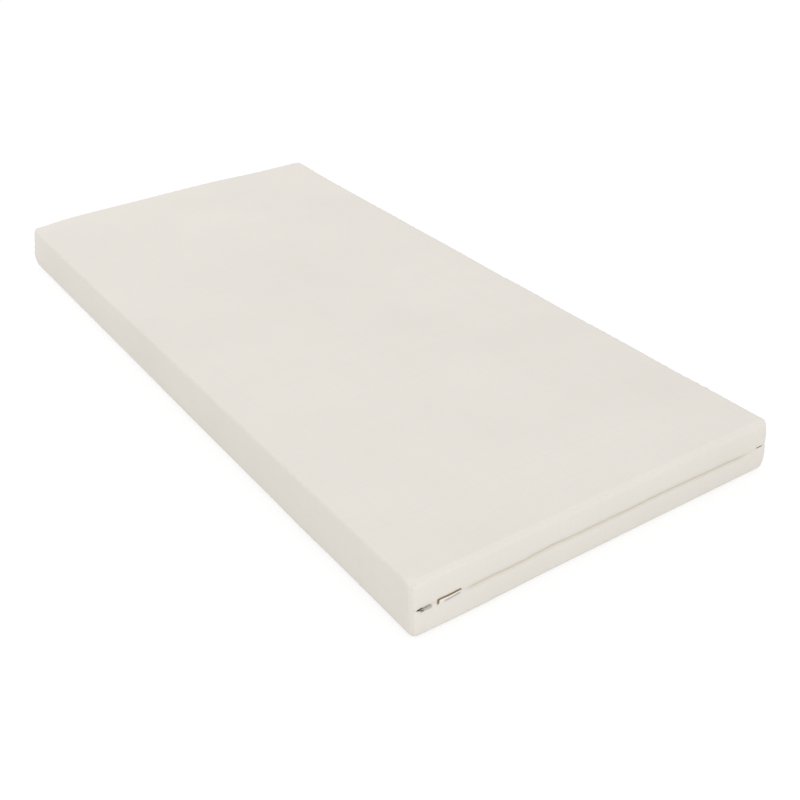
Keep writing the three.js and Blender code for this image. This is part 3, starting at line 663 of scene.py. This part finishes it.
def node(tree, kind, **settings):
    """A node with its properties set by name and its inputs by 'in_' and the socket's name or number."""
    made = tree.nodes.new(kind)
    for key, value in settings.items():
        if key.startswith("in_"):
            key = key[3:]
            give(tree, made.inputs[int(key) if key.isdigit() else key.replace("_", " ")], value)
        else:
            setattr(made, key, value)
    return made


def maths(tree, operation, a, b=0.0):
    """A sum, product or other function of one or two numbers."""
    return node(tree, "ShaderNodeMath", operation=operation, in_0=a, in_1=b).outputs[0]


def plus(tree, a, b):
    return maths(tree, "ADD", a, b)


def minus(tree, a, b):
    return maths(tree, "SUBTRACT", a, b)


def times(tree, a, b):
    return maths(tree, "MULTIPLY", a, b)


def ranged(tree, value, from_low, from_high, low=0.0, high=1.0):
    """A value's run from from_low to from_high laid out from low to high, and held there beyond it."""
    made = node(tree, "ShaderNodeMapRange", in_0=value, in_1=from_low, in_2=from_high, in_3=low, in_4=high)
    return made.outputs[0]


def spread(tree, tone, low=0.0, high=1.0):
    """An uneven tone's usual run, laid out from low to high."""
    return ranged(tree, tone, 0.3, 0.7, low, high)


def tint(tree, factor, first, second):
    """From the first colour to the second by a factor."""
    return node(tree, "ShaderNodeMix", data_type="RGBA", in_0=factor, in_6=first, in_7=second).outputs[2]


def noise(tree, place, scale, detail):
    """A soft noise about one half."""
    return node(tree, "ShaderNodeTexNoise", in_Vector=place, in_Scale=scale, in_Detail=detail).outputs[0]


def split(tree, place):
    """A place's three numbers."""
    return node(tree, "ShaderNodeSeparateXYZ", in_0=place).outputs


def stretched(tree, place, by):
    """A place multiplied along each axis."""
    return node(tree, "ShaderNodeVectorMath", operation="MULTIPLY", in_0=place, in_1=by).outputs[0]


def effect(name, numbers, outputs):
    """An empty node group that takes a place in metres and named numbers, and puts out named numbers."""
    group = bpy.data.node_groups.new(name, "ShaderNodeTree")
    group.interface.new_socket(name="Place", in_out="INPUT", socket_type="NodeSocketVector")
    for way, labels in (("INPUT", numbers), ("OUTPUT", outputs)):
        for label in labels:
            group.interface.new_socket(name=label, in_out=way, socket_type="NodeSocketFloat")
    return group, node(group, "NodeGroupInput").outputs


def put_out(group, *values):
    """Links the values to a group's outputs, in their order."""
    node(group, "NodeGroupOutput", **{f"in_{k}": value for k, value in enumerate(values)})
    return group


def grouped(tree, group, *given):
    """The outputs of a shared effect, given its inputs in their order."""
    inputs = {f"in_{k}": value for k, value in enumerate(given)}
    return node(tree, "ShaderNodeGroup", node_tree=group, **inputs).outputs


def weave_effect():
    """Plain weave over a flat pattern in metres: round warp and weft threads, each over the other at every
    second crossing, with a tone of its own for each thread, and slubs where a thread runs thicker."""
    g, given = effect("Plain weave", ["Pitch"], ["Height", "Thread tone", "Slub"])
    x, y, _ = split(g, given[0])
    bend = times(g, minus(g, noise(g, given[0], 90.0, 2.0), 0.5), WEAVE_BEND)
    x, y = (maths(g, "DIVIDE", at, given[1]) for at in (plus(g, x, bend), minus(g, y, bend)))
    wave_x, wave_y = (maths(g, "SINE", times(g, at, math.pi)) for at in (x, y))
    over = times(g, maths(g, "GREATER_THAN", times(g, wave_x, wave_y), 0.0), 0.4)
    thick_x, thick_y = (maths(g, "SQRT", maths(g, "ABSOLUTE", wave)) for wave in (wave_x, wave_y))
    warp = times(g, thick_x, plus(g, 0.6, over))
    weft = times(g, thick_y, minus(g, 1.0, over))
    chosen = maths(g, "GREATER_THAN", warp, weft)
    tone_x, tone_y = (
        node(g, "ShaderNodeTexWhiteNoise", noise_dimensions="1D", in_W=maths(g, "FLOOR", at)).outputs[0]
        for at in (x, plus(g, y, 0.37))
    )
    tone = plus(g, times(g, chosen, tone_x), times(g, minus(g, 1.0, chosen), tone_y))
    slubs = [
        ranged(g, noise(g, stretched(g, given[0], by), 1.0, 1.0), 0.64, 0.78)
        for by in ((26.0, 900.0, 1.0), (900.0, 26.0, 1.0))
    ]
    return put_out(g, maths(g, "MAXIMUM", warp, weft), tone, maths(g, "MAXIMUM", *slubs))


def mottle_effect():
    """Slow and quick uneven tone from two noises, both about a middle of one half."""
    g, given = effect("Mottle", ["Slow scale", "Quick scale"], ["Slow", "Quick"])
    return put_out(g, noise(g, given[0], given[1], 3.0), noise(g, given[0], given[2], 4.0))


def worn_effect():
    """Fine scratches along one direction and a soft tarnish, for small metal parts."""
    g, given = effect("Handled metal", [], ["Scratch", "Tarnish"])
    scratch = noise(g, stretched(g, given[0], (3000.0, 400.0, 9000.0)), 1.0, 3.0)
    return put_out(g, scratch, noise(g, given[0], 420.0, 4.0))


WEAVE, MOTTLE, WORN = weave_effect(), mottle_effect(), worn_effect()


def in_frame(tree):
    """The place in the frame, in metres."""
    return node(tree, "ShaderNodeTexCoord").outputs["Object"]


def on_cloth(tree):
    """The place on the piece's own flat pattern, in metres."""
    return node(tree, "ShaderNodeUVMap", uv_map="cloth").outputs[0]


def mottled(tree, slow, quick):
    """The slow and the quick uneven tone over a piece."""
    return grouped(tree, MOTTLE, in_frame(tree), slow, quick)


def ridges(tree, at, pitch):
    """Round ridges, from -1 to 1, a pitch apart."""
    return maths(tree, "SINE", times(tree, at, TURN / pitch))


def new_material(name, rough, **settings):
    """A material and its node tree; the numbers are constants on the Principled shader's own sockets."""
    material = bpy.data.materials.new(name)
    material.use_nodes = True
    shader = material.node_tree.nodes["Principled BSDF"]
    for key, value in {"Roughness": rough, **settings}.items():
        shader.inputs[key.replace("_", " ")].default_value = value
    return material, material.node_tree


def finished(material, colour, rough, height, strength, distance):
    """Puts the colour, the roughness and a bump of the height on the material's shader."""
    tree = material.node_tree
    bump = node(tree, "ShaderNodeBump", in_Strength=strength, in_Distance=distance, in_Height=height)
    shader = tree.nodes["Principled BSDF"]
    for key, value in (("Base Color", colour), ("Roughness", rough), ("Normal", bump.outputs[0])):
        tree.links.new(value, shader.inputs[key])
    return material


def rgb(red, green, blue):
    """Linear colour of an sRGB one given from 0 to 255."""
    c = np.array([red, green, blue]) / 255
    return (*np.where(c <= 0.04045, c / 12.92, ((c + 0.055) / 1.055) ** 2.4), 1.0)


def scaled(colour, share):
    """A darker or lighter share of a colour."""
    return (colour[0] * share, colour[1] * share, colour[2] * share, 1.0)


def cotton_material():
    """Unbleached plain-woven cotton: cream threads of slightly different tones, a few slubs, a slow uneven
    tone, a little sheen, painted shade in the weave's hollows, and a faint warm painted shade along the zip."""
    material, tree = new_material("unbleached_cotton", 0.9, Specular_IOR_Level=0.2, Sheen_Weight=0.08)
    base = rgb(236, 231, 223)
    height, thread_tone, slub = grouped(tree, WEAVE, on_cloth(tree), WEAVE_PITCH)
    slow, quick = mottled(tree, 5.0, 130.0)
    zip_painted_shade = node(tree, "ShaderNodeAttribute", attribute_name="zip_painted_shade").outputs["Fac"]
    colour = tint(tree, spread(tree, slow), scaled(base, 0.975), scaled(base, 1.015))
    colour = tint(tree, ranged(tree, thread_tone, 0.0, 1.0, 0.0, 0.35), colour, scaled(base, 0.90))
    colour = tint(tree, times(tree, slub, 0.25), colour, rgb(238, 233, 218))
    # Painted shade: darker where the weave's height is low, in the hollows between threads
    colour = tint(tree, ranged(tree, height, 0.0, 0.75, 0.22, 0.0), colour, scaled(base, 0.72))
    # Painted shade along the zip's groove: darker and warmer near the lips
    colour = tint(tree, times(tree, zip_painted_shade, 0.47), colour, rgb(206, 196, 176))
    rough = spread(tree, quick, 0.84, 0.96)
    height = plus(tree, plus(tree, height, times(tree, slub, 0.6)), times(tree, quick, 0.8))
    return finished(material, colour, rough, height, 0.35, 0.00012)


def tape_material():
    """Zip tape: a close herringbone of fine off-white threads."""
    material, tree = new_material("woven_zip_tape", 0.8, Sheen_Weight=0.05)
    base = rgb(232, 227, 214)
    across, along, _ = split(tree, on_cloth(tree))
    ridge = ridges(tree, plus(tree, across, maths(tree, "PINGPONG", along, TAPE_ZIG)), TAPE_RIDGE)
    slow, quick = mottled(tree, 60.0, 900.0)
    # Painted shade: darker in the grooves between the tape's ridges
    colour = tint(tree, ranged(tree, ridge, -1.0, 1.0, 0.0, 0.6), scaled(base, 0.8), base)
    colour = tint(tree, spread(tree, slow, 0.0, 0.3), colour, scaled(base, 0.86))
    return finished(material, colour, spread(tree, quick, 0.72, 0.88), ridge, 0.4, 0.0001)


def coil_material():
    """Coil: smooth monofilament in a warm light grey, with a faint uneven tone."""
    material, tree = new_material("coil_monofilament", 0.42)
    base = rgb(226, 219, 202)
    slow, quick = mottled(tree, 40.0, 1500.0)
    colour = tint(tree, spread(tree, slow), scaled(base, 0.88), scaled(base, 1.05))
    return finished(material, colour, spread(tree, quick, 0.36, 0.5), quick, 0.12, 0.0001)


def thread_material():
    """Sewing thread: off-white, with a quick uneven tone and a fine rough surface."""
    material, tree = new_material("sewing_thread", 0.75, Sheen_Weight=0.1)
    base = rgb(248, 245, 238)
    slow, quick = mottled(tree, 30.0, 2200.0)
    colour = tint(tree, ranged(tree, quick, 0.35, 0.65), scaled(base, 0.92), base)
    return finished(material, colour, spread(tree, slow, 0.68, 0.82), quick, 0.4, 0.00008)


def metal_material(name, share, rough):
    """Dull nickel plate with fine scratches and a faint tarnish."""
    material, tree = new_material(name, 0.5, Metallic=1.0)
    base = rgb(178, 176, 170)
    scratch, tarnish = grouped(tree, WORN, in_frame(tree))
    colour = tint(tree, ranged(tree, tarnish, 0.35, 0.7), scaled(base, share), scaled(base, 0.72 * share))
    rough = spread(tree, scratch, rough - 0.06, rough + 0.1)
    return finished(material, colour, rough, scratch, 0.15, 0.00005)


def latex_material():
    """Natural latex foam: cream, with open pores of a few tenths of a millimetre and a slow uneven tone."""
    material, tree = new_material("natural_latex", 0.85, Subsurface_Weight=0.1, Subsurface_Scale=0.004)
    base = rgb(240, 230, 202)
    pores = node(tree, "ShaderNodeTexVoronoi", in_Vector=in_frame(tree), in_Scale=1400.0).outputs[0]
    slow, quick = mottled(tree, 9.0, 300.0)
    colour = tint(tree, spread(tree, slow), scaled(base, 0.95), base)
    # Painted shade: darker inside the pores
    colour = tint(tree, ranged(tree, pores, 0.0, 0.35, 0.45, 0.0), colour, scaled(base, 0.6))
    height = plus(tree, pores, times(tree, quick, 0.5))
    return finished(material, colour, spread(tree, quick, 0.78, 0.9), height, 0.5, 0.0003)


def knit_material():
    """Stockinette: columns of small V-shaped loops in fine white cotton."""
    material, tree = new_material("white_stockinette", 0.92, Sheen_Weight=0.1)
    base = rgb(240, 238, 231)
    across, along, _ = split(tree, on_cloth(tree))
    column = maths(tree, "PINGPONG", across, KNIT_COLUMN)
    row = ridges(tree, plus(tree, along, column), KNIT_ROW)
    rib = maths(tree, "ABSOLUTE", ranged(tree, column, 0.0, KNIT_COLUMN, -0.6, 0.6))
    height = minus(tree, times(tree, row, 0.6), rib)
    slow, quick = mottled(tree, 12.0, 500.0)
    # Painted shade: darker where the knit's height is low, between the loops
    colour = tint(tree, ranged(tree, height, -1.1, 0.6), scaled(base, 0.82), base)
    colour = tint(tree, spread(tree, slow, 0.0, 0.3), colour, scaled(base, 0.93))
    return finished(material, colour, spread(tree, quick, 0.86, 0.97), height, 0.4, 0.0002)


def label_material():
    """Label: white satin tape with a tan woven edge along its top fold and its near end, and one pale
    grey-violet stripe; v runs along the tape from its tucked end, u along the zip."""
    material, tree = new_material("label_satin", 0.55, Sheen_Weight=0.1)
    white, tan, stripe = rgb(243, 240, 232), rgb(136, 112, 72), rgb(180, 171, 174)
    u, v, _ = split(tree, on_cloth(tree))
    fray = times(tree, minus(tree, noise(tree, on_cloth(tree), 1800.0, 2.0), 0.5), 0.0006)
    down = minus(tree, plus(tree, v, fray), LABEL_TOP * MM)
    on_top = ranged(tree, maths(tree, "ABSOLUTE", minus(tree, down, 0.0006)), 0.0014, 0.0017, 1.0, 0.0)
    end_width = minus(tree, 0.0030, times(tree, down, 0.18))
    in_end = ranged(tree, minus(tree, plus(tree, u, fray), end_width), 0.0, 0.0004, 1.0, 0.0)
    on_end = times(tree, in_end, ranged(tree, down, 0.0080, 0.0094, 1.0, 0.0))
    stripe_at = minus(tree, 0.0078, times(tree, u, 0.05))
    in_band = ranged(tree, maths(tree, "ABSOLUTE", minus(tree, down, stripe_at)), 0.0016, 0.0022, 1.0, 0.0)
    in_length = times(tree, ranged(tree, u, 0.009, 0.014), ranged(tree, u, 0.036, 0.039, 1.0, 0.0))
    ridge = ridges(tree, v, LABEL_RIDGE)
    # Painted shade: darker in the troughs between the satin's ribs
    colour = tint(tree, ranged(tree, ridge, -1.0, 1.0, 0.0, 0.5), scaled(white, 0.93), white)
    colour = tint(tree, times(tree, times(tree, in_band, in_length), 0.85), colour, stripe)
    # Painted shade: the tan edge is also darker in the troughs between ribs
    edge = tint(tree, ranged(tree, ridge, -1.0, 1.0), scaled(tan, 0.8), tan)
    colour = tint(tree, maths(tree, "MAXIMUM", on_top, on_end), colour, edge)
    return finished(material, colour, ranged(tree, ridge, -1.0, 1.0, 0.62, 0.5), ridge, 0.3, 0.00008)


# Cover

def make_cover(cotton):
    """The plain panels and borders, and a strip above and one below the zip on each zipped face."""
    plain_panel("top", TOP, cotton, 5.2)
    plain_panel("bottom", BOTTOM, cotton, 10)
    plain_panel("plain_side", PLAIN_SIDE, cotton, 4.6)
    plain_panel("plain_end", PLAIN_END, cotton, 4.6)
    for name, face, coarse in (("zip_end", ZIP_END, 4), ("zip_side", ZIP_SIDE, 5)):
        zip_panel(name + "_upper", face, 1, cotton, coarse)
        zip_panel(name + "_lower", face, -1, cotton, coarse)


def make_seams(material):
    """The laid threads that close the twelve seams: a thin tube just under the cloth's edge, whose radius
    swells at every stitch."""
    parts = []
    for face, crossings in ((TOP, (0, 1)), (BOTTOM, (0, 1)), (PLAIN_SIDE, (1,)), (ZIP_SIDE, (1,))):
        for fixed in crossings:
            across, along = over_axes(face)[fixed], over_axes(face)[1 - fixed]
            w = np.arange(0, walk(along) + 0.7, 0.75)
            w = w * walk(along) / w[-1]
            for at in (0.0, walk(across)):
                held = np.full_like(w, at)
                s, t = (w, held) if fixed else (held, w)
                line = cloth_point(face, s, t, sink=THREAD_SINK)
                reference = cloth_point(face, s, t, sink=-1) - line
                if along == 2:
                    line[..., 2] = np.maximum(line[..., 2], THREAD_FLOOR)
                rings = tube(line, THREAD_HALF + THREAD_SWELL * np.sin(TURN * w / SEAM_STITCH), 6, reference)
                parts.append((rings.reshape(-1, 3), grid_quads(len(w), 6, closed_columns=True)))
    points, faces = joined(parts)
    mesh_piece("seam_threads", points, faces[:, ::-1], material, "cotton")


def stitch_row(face, side):
    """Centre lines of a row of stitches along a lip: each rises a little out of the cloth at its middle and
    dives at its ends."""
    w = np.linspace(0, 1, len(STITCH_HALVES))
    a = np.arange(12, zip_length(face) - 12, STITCH_PITCH)[:, None] + STITCH_LENGTH * w
    s, t = along_across(face, a, ZIP_ALONG + zip_rise(face, a) + side * (lip_gap(face, a) + STITCH_OFF))
    out = cloth_normal(face, s, t)
    lift = 0.34 * np.sin(math.pi * w) - 0.16
    return cloth_point(face, s, t) + lift[:, None] * out, out


def make_stitching(material):
    """Topstitch rows, one each side of the zip, of separate thread stitches."""
    for side, name in ((1, "zip_stitches_upper"), (-1, "zip_stitches_lower")):
        parts = []
        for face in (ZIP_END, ZIP_SIDE):
            line, out = stitch_row(face, side)
            rings = tube(line, STITCH_HALVES, 5, out)
            count, rows, columns = rings.shape[:3]
            one = grid_quads(rows, columns, closed_columns=True)
            parts.append((rings.reshape(-1, 3), repeated(one, rows * columns, count)))
        points, faces = joined(parts)
        reworked(mesh_piece(name, points, faces[:, ::-1], material, "cotton"), close_ends)


# Zip

def make_tapes(material):
    """Each tape: a thin section that backs the cover 10 to 15 mm from the zip line and dips inwards to carry
    the chain."""
    line = smooth_line(TAPE_SECTION, TAPE_POINTS)
    slope = unit(np.gradient(line, axis=0))
    side = TAPE_HALF * np.stack([slope[:, 1], -slope[:, 0]], -1)
    section = np.concatenate([line + side, (line - side)[::-1]])
    across = np.linspace(0, TAPE_WIDTH, TAPE_POINTS)
    across = np.concatenate([across, across[::-1]])
    w, base, out = zip_path(8.2, 16.5, 4)
    uv = np.stack(np.broadcast_arrays(w[:, None], across), -1)
    for sign, name in ((1, "tape_upper"), (-1, "tape_lower")):
        points = base[:, None] - section[:, :1] * out[:, None] + sign * section[:, 1:] * UP
        faces, caps = tube_faces(len(w), len(section), sign > 0)
        mesh_piece(name, points, faces, material, "zip_tape", ["zip_" + name], uv, caps=caps)


def make_coils(material):
    """Each row: one monofilament wound into a flattened coil whose heads meet the other row's; the lower
    row lies half a turn behind."""
    w, base, out = zip_path(10.9, 24.5, COIL_PITCH / COIL_STEPS)
    along = np.stack([-out[:, 1], out[:, 0], 0 * w], -1)
    for sign, name in ((1, "coil_upper"), (-1, "coil_lower")):
        turn = TURN * w / COIL_PITCH + (math.pi if sign < 0 else 0)
        rise = sign * (COIL_RISE + COIL_HIGH * np.cos(turn))
        depth = COIL_DEPTH + COIL_DEEP * np.sin(turn)
        line = base - depth[:, None] * out + rise[:, None] * UP
        head = np.clip(-np.cos(turn), 0, 1) ** 4
        rings = tube(line, WIRE_HALF + WIRE_HEAD * head, COIL_SIDES, along)
        faces, caps = tube_faces(len(w), COIL_SIDES, True)
        mesh_piece(name, rings, faces, material, "zip_coil", ["zip_" + name], caps=caps)


def label_section(share):
    """The label's tape at a share of its length, as (depth, rise) from the zip line: from behind the lower
    lip it comes out over the lip's edge, stands up over the gap, folds and hangs down the face; its fold
    climbs towards the far end and its hem waves a little."""
    top = 4.5 + 0.5 * share + 0.25 * math.sin(9 * share)
    hem = -5.9 + 2.6 * share + 0.25 * math.sin(7 * share + 1)
    bulge = 0.35 * math.sin(math.pi * share) + 0.15 * math.sin(11 * share)
    return smooth_line([
        (1.85, -7.0), (1.9, -4.0), (1.95, -2.0), (2.05, -0.9), (1.7, -0.1), (0.9, 0.0), (0.1, 0.15),
        (-0.2, 0.8), (-0.3, 0.5 * top + 0.3), (-0.42, top - 0.6), (-0.75, top), (-1.1, top - 0.5),
        (-1.2 - bulge, 0.5 * (top + hem)), (-1.0 - 0.5 * bulge, hem + 1.2), (-0.8, hem),
    ], 60)


def make_label(material):
    """The folded label: its sections along the lower lip, given their thickness."""
    along = np.linspace(0, 1, 34)
    section = np.array([label_section(share) for share in along])
    y = LABEL_START + LABEL_LENGTH * along - HALF_Y
    lip = zip_rise(ZIP_END, y + HALF_Y - ROLL + ARC)
    y = np.broadcast_to(y[:, None], section.shape[:2])
    points = np.stack([HALF_X - section[..., 0], y, ZIP_Z + section[..., 1] + 0.6 * lip[:, None]], -1)
    out = unit(np.cross(np.gradient(points, axis=1), np.gradient(points, axis=0)))
    points, quads, source = shell(points + LABEL_THICK / 2 * out, out, LABEL_THICK, 2, np.ones(y.shape))
    steps = np.linalg.norm(np.diff(section, axis=1), axis=-1)
    run = np.concatenate([np.zeros((len(section), 1)), np.cumsum(steps, 1)], 1)
    at_fold = np.take_along_axis(run, section[..., 1].argmax(1)[:, None], 1)
    u = np.broadcast_to(LABEL_LENGTH * along[:, None], run.shape)
    uv = np.stack([u, run - at_fold + LABEL_TOP], -1).reshape(-1, 2)[source]
    mesh_piece("label_tape", points, quads[:, ::-1], material, "label", ["side_label"], uv)


def finish_metal():
    """The slider, its pull tab and the stops keep their solids: their triangles are joined, their edges
    rounded, and they get the metal: the slider plain nickel, the tab and the stops a copy painted a quarter
    lighter, a painted reflection."""
    slider = metal_material("slider_nickel", 1.0, 0.34)
    # A copy of the slider's nickel painted a quarter lighter: painted reflection on the tab and the stops
    tab = metal_material("nickel_painted_reflection", 1.25, 0.30)
    for name, material, width in (
        ("zip_slider", slider, 0.18), ("zip_pull_tab", tab, 0.22),
        ("zip_top_stop_upper", tab, 0.12), ("zip_top_stop_lower", tab, 0.12), ("zip_bottom_stop", tab, 0.2),
    ):
        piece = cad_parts[name]
        piece.data.materials.clear()
        piece.data.materials.append(material)
        modified(piece, "Join", "WELD", merge_threshold=0.01 * MM)
        modified(piece, "Rounded edges", "BEVEL", width=width * MM, segments=3, angle_limit=math.radians(35))
        smooth_faces(piece.data)


# Filling

def slab_face(face, lines, low, high, radius, hole):
    """One face of a rounded slab over its two sets of lines: the nearest point of the slab drawn in by the
    radius, plus the radius towards the sharp face. The cells inside a hole (middle, half) are left out."""
    axis, sign = face
    u, v = over_axes(face)
    a, b = np.meshgrid(lines[u], lines[v], indexing="ij")
    box = np.empty(a.shape + (3,))
    box[..., axis], box[..., u], box[..., v] = (high if sign > 0 else low)[axis], a, b
    inner = np.clip(box, low + radius, high - radius)
    points = inner + radius * unit(box - inner)
    quads = grid_quads(*a.shape)
    if hole is not None:
        cells = [(line[:-1] + line[1:]) / 2 for line in (lines[u], lines[v])]
        middle = np.stack(np.meshgrid(*cells, indexing="ij"), -1).reshape(-1, 2)
        quads = quads[(np.abs(middle - hole[0]) >= hole[1]).any(-1)]
    return points.reshape(-1, 3), quads if sign > 0 else quads[:, ::-1]


def slab(low, high, radius, inside, holes):
    """The faces of a rounded slab: over each roll five even turns, then the roll's inner edge and the given
    inside lines."""
    turn = radius * (1 - np.tan(EIGHTH - np.linspace(0, EIGHTH, 6)[:-1]))
    turn = np.append(turn, radius)
    lines = [np.concatenate([low[k] + turn, inside[k], high[k] - turn[::-1]]) for k in range(3)]
    faces = [(axis, sign) for axis in range(3) for sign in (-1, 1)]
    return [slab_face(face, lines, low, high, radius, holes.get(face)) for face in faces]


def filling_piece(name, parts, *settings, **more):
    """A piece of the filling from its parts: its upper points rise and fall with the foam's swell, it departs
    from its box like the cover, and the parts' points are joined."""
    points, faces = joined(parts)
    moved = points.copy()
    moved[:, 2] += foam_swell(points) * upper(points[:, 2])
    piece = mesh_piece(name, filled(moved, points), faces, *settings, **more)
    reworked(piece, weld_points)
    return piece


def drawn_in(name, low_gap, high_gap):
    """The low and high corners of a solid's box, drawn in by two gaps, and its middle."""
    low, high = (np.array(corner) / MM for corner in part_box(name))
    return low + low_gap, high - high_gap, (low + low_gap + high - high_gap) / 2


def pin_cells(middle, half, low_z, high_z):
    """A rectangle of square cells, each with a round pin hole right through: on both faces a ring of eight
    points on the cell's edge joined to eight on the hole's, which a wall joins to the other face's."""
    across = [np.arange(-half[k] + PIN_PITCH / 2, half[k], PIN_PITCH) + middle[k] for k in (0, 1)]
    centres = np.stack(np.meshgrid(*across, indexing="ij"), -1).reshape(-1, 2)
    turn = EIGHTH * np.arange(8)
    around = np.stack([np.cos(turn), np.sin(turn)], -1)
    square = around / np.abs(around).max(-1, keepdims=True) * PIN_PITCH / 2
    mouth, hole = around * (PIN_HALF + PIN_MOUTH), around * PIN_HALF
    levels = [(high_z, square), (high_z, mouth), (high_z - PIN_MOUTH, hole)]
    levels += [(low_z + PIN_MOUTH, hole), (low_z, mouth), (low_z, square)]
    points = np.empty((len(centres), 6, 8, 3))
    for k, (z, ring) in enumerate(levels):
        points[:, k, :, :2] = centres[:, None] + ring
        points[:, k, :, 2] = z
    one = grid_quads(6, 8, closed_columns=True)[:, ::-1]
    return points.reshape(-1, 3), repeated(one, 6 * 8, len(centres))


def make_core(material):
    """The latex block: a slab with rolled edges, and through it the pin holes."""
    low, high, middle = drawn_in("latex_core", CORE_GAP, CORE_GAP)
    half = np.floor((high - low - 2 * PIN_MARGIN) / PIN_PITCH)[:2] * PIN_PITCH / 2
    inside = [middle[k] + np.arange(-half[k], half[k] + 1, PIN_PITCH / 2) for k in (0, 1)]
    inside.append(np.linspace(low[2] + CORE_ROLL, high[2] - CORE_ROLL, 8)[1:-1])
    pinned = (middle[:2], half)
    parts = slab(low, high, CORE_ROLL, inside, {TOP: pinned, BOTTOM: pinned})
    parts.append(pin_cells(middle, half, low[2], high[2]))
    piece = filling_piece("latex_block", parts, material, "latex", ["latex_core"], fill=1.0)
    piece.data.set_sharp_from_angle(angle=math.radians(50))


def make_sleeve(material):
    """The knitted sleeve: a rolled-edge bag round the block, open at the zipped short end but for a hem,
    given its thickness inwards."""
    low, high, middle = drawn_in("inner_sleeve", *SLEEVE_BACK)
    half = (high - low) / 2 - SLEEVE_HEM
    counts = np.maximum(4, (high - low - 2 * SLEEVE_ROLL) // SLEEVE_CELL).astype(int)
    inside = [np.linspace(middle[k] - half[k], middle[k] + half[k], counts[k]) for k in range(3)]
    parts = slab(low, high, SLEEVE_ROLL, inside, {ZIP_END: (middle[1:], half[1:])})
    points = joined(parts)[0]
    at_face = np.abs(points - middle) / (high - low) > 0.499
    flat = np.where(at_face[:, 1:2], points[:, ::2], points[:, 1:])
    flat = np.where(at_face[:, 2:], points[:, :2], flat)
    piece = filling_piece("knit_sleeve", parts, material, "stockinette", ["inner_sleeve"], uv=flat)
    modified(piece, "Knit thickness", "SOLIDIFY", thickness=SLEEVE_WALL * MM, offset=-1.0)


# Stage, lights and camera

def seen_plainly(tree):
    """One for the camera's own rays and for sharp reflections, and zero for the light's."""
    rays = node(tree, "ShaderNodeLightPath").outputs
    return maths(tree, "MAXIMUM", rays["Is Camera Ray"], rays["Is Glossy Ray"])


def make_stage():
    """A white floor that keeps a soft shadow: for the camera it is mostly its own even white, for the light
    it is plain pale paint."""
    ground = bpy.data.meshes.new("studio_floor")
    corners = [(x * FLOOR_REACH, y * FLOOR_REACH, FLOOR_Z) for x, y in ((-1, -1), (1, -1), (1, 1), (-1, 1))]
    ground.from_pydata(corners, [], [(0, 1, 2, 3)])
    added("studio_floor", ground)
    material = bpy.data.materials.new("studio_paint")
    material.use_nodes = True
    tree = material.node_tree
    tree.nodes.clear()
    seen = seen_plainly(tree)
    colour = tint(tree, seen, (0.80, 0.80, 0.79, 1), (0.30, 0.30, 0.30, 1))
    strength = times(tree, seen, FLOOR_GLOW)
    paint = node(tree, "ShaderNodeBsdfDiffuse", in_Color=colour).outputs[0]
    glow = node(tree, "ShaderNodeEmission", in_Color=WHITE, in_Strength=strength).outputs[0]
    both = node(tree, "ShaderNodeAddShader", in_0=paint, in_1=glow).outputs[0]
    node(tree, "ShaderNodeOutputMaterial", in_Surface=both)
    ground.materials.append(material)


def lamp(name, kind, power, place):
    """A lamp at a place, or far off in its direction, that shines towards the mattress."""
    light = bpy.data.lights.new(name, kind)
    light.energy = power
    holder = added(name, light)
    holder.rotation_mode = "QUATERNION"
    holder.rotation_quaternion = Vector(place).to_track_quat("Z", "Y")
    return light, holder


def make_light():
    """An even sky, one broad lamp from the front right, high up, and two weak round lamps: one for the plain
    long side and the far end, and one low down at the near corner."""
    world = bpy.data.worlds.new("studio")
    world.use_nodes = True
    bpy.context.scene.world = world
    tree = world.node_tree
    tree.nodes.clear()
    strength = plus(tree, times(tree, seen_plainly(tree), 1.0 - SKY), SKY)
    sky = node(tree, "ShaderNodeBackground", in_Color=WHITE, in_Strength=strength).outputs[0]
    node(tree, "ShaderNodeOutputWorld", in_Surface=sky)
    key, _ = lamp("key", "SUN", KEY, KEY_FROM)
    key.angle = math.radians(KEY_SPREAD)
    for name, power, place, width in (
        ("side_fill", FILL, FILL_AT, FILL_WIDTH),
        ("corner_fill", NEAR_FILL, NEAR_FILL_AT, NEAR_FILL_WIDTH),
    ):
        light, holder = lamp(name, "AREA", power, place)
        light.shape = "DISK"
        light.size = width
        holder.location = place
        holder.visible_camera = False


def make_camera():
    """The photograph's camera: its place, how far round and how high up it looks from, and its roll."""
    azimuth, elevation, roll = (math.radians(turn) for turn in CAMERA_TURN)
    data = bpy.data.cameras.new("camera")
    data.sensor_width = SENSOR
    data.lens = SENSOR * FOCAL_PIXELS / FRAME_PIXELS
    data.clip_end = 100.0
    camera = added("camera", data)
    camera.matrix_world = Matrix.Translation(CAMERA_AT)
    for turn, axis in ((azimuth, "Z"), (math.pi / 2 - elevation, "X"), (roll, "Z")):
        camera.matrix_world = camera.matrix_world @ Matrix.Rotation(turn, 4, axis)
    bpy.context.scene.camera = camera


bpy.context.scene.view_settings.view_transform = "Standard"

thread = thread_material()
make_cover(cotton_material())
make_seams(thread)
make_stitching(thread)
make_tapes(tape_material())
make_coils(coil_material())
make_label(label_material())
finish_metal()
make_core(latex_material())
make_sleeve(knit_material())
make_stage()
make_light()
make_camera()
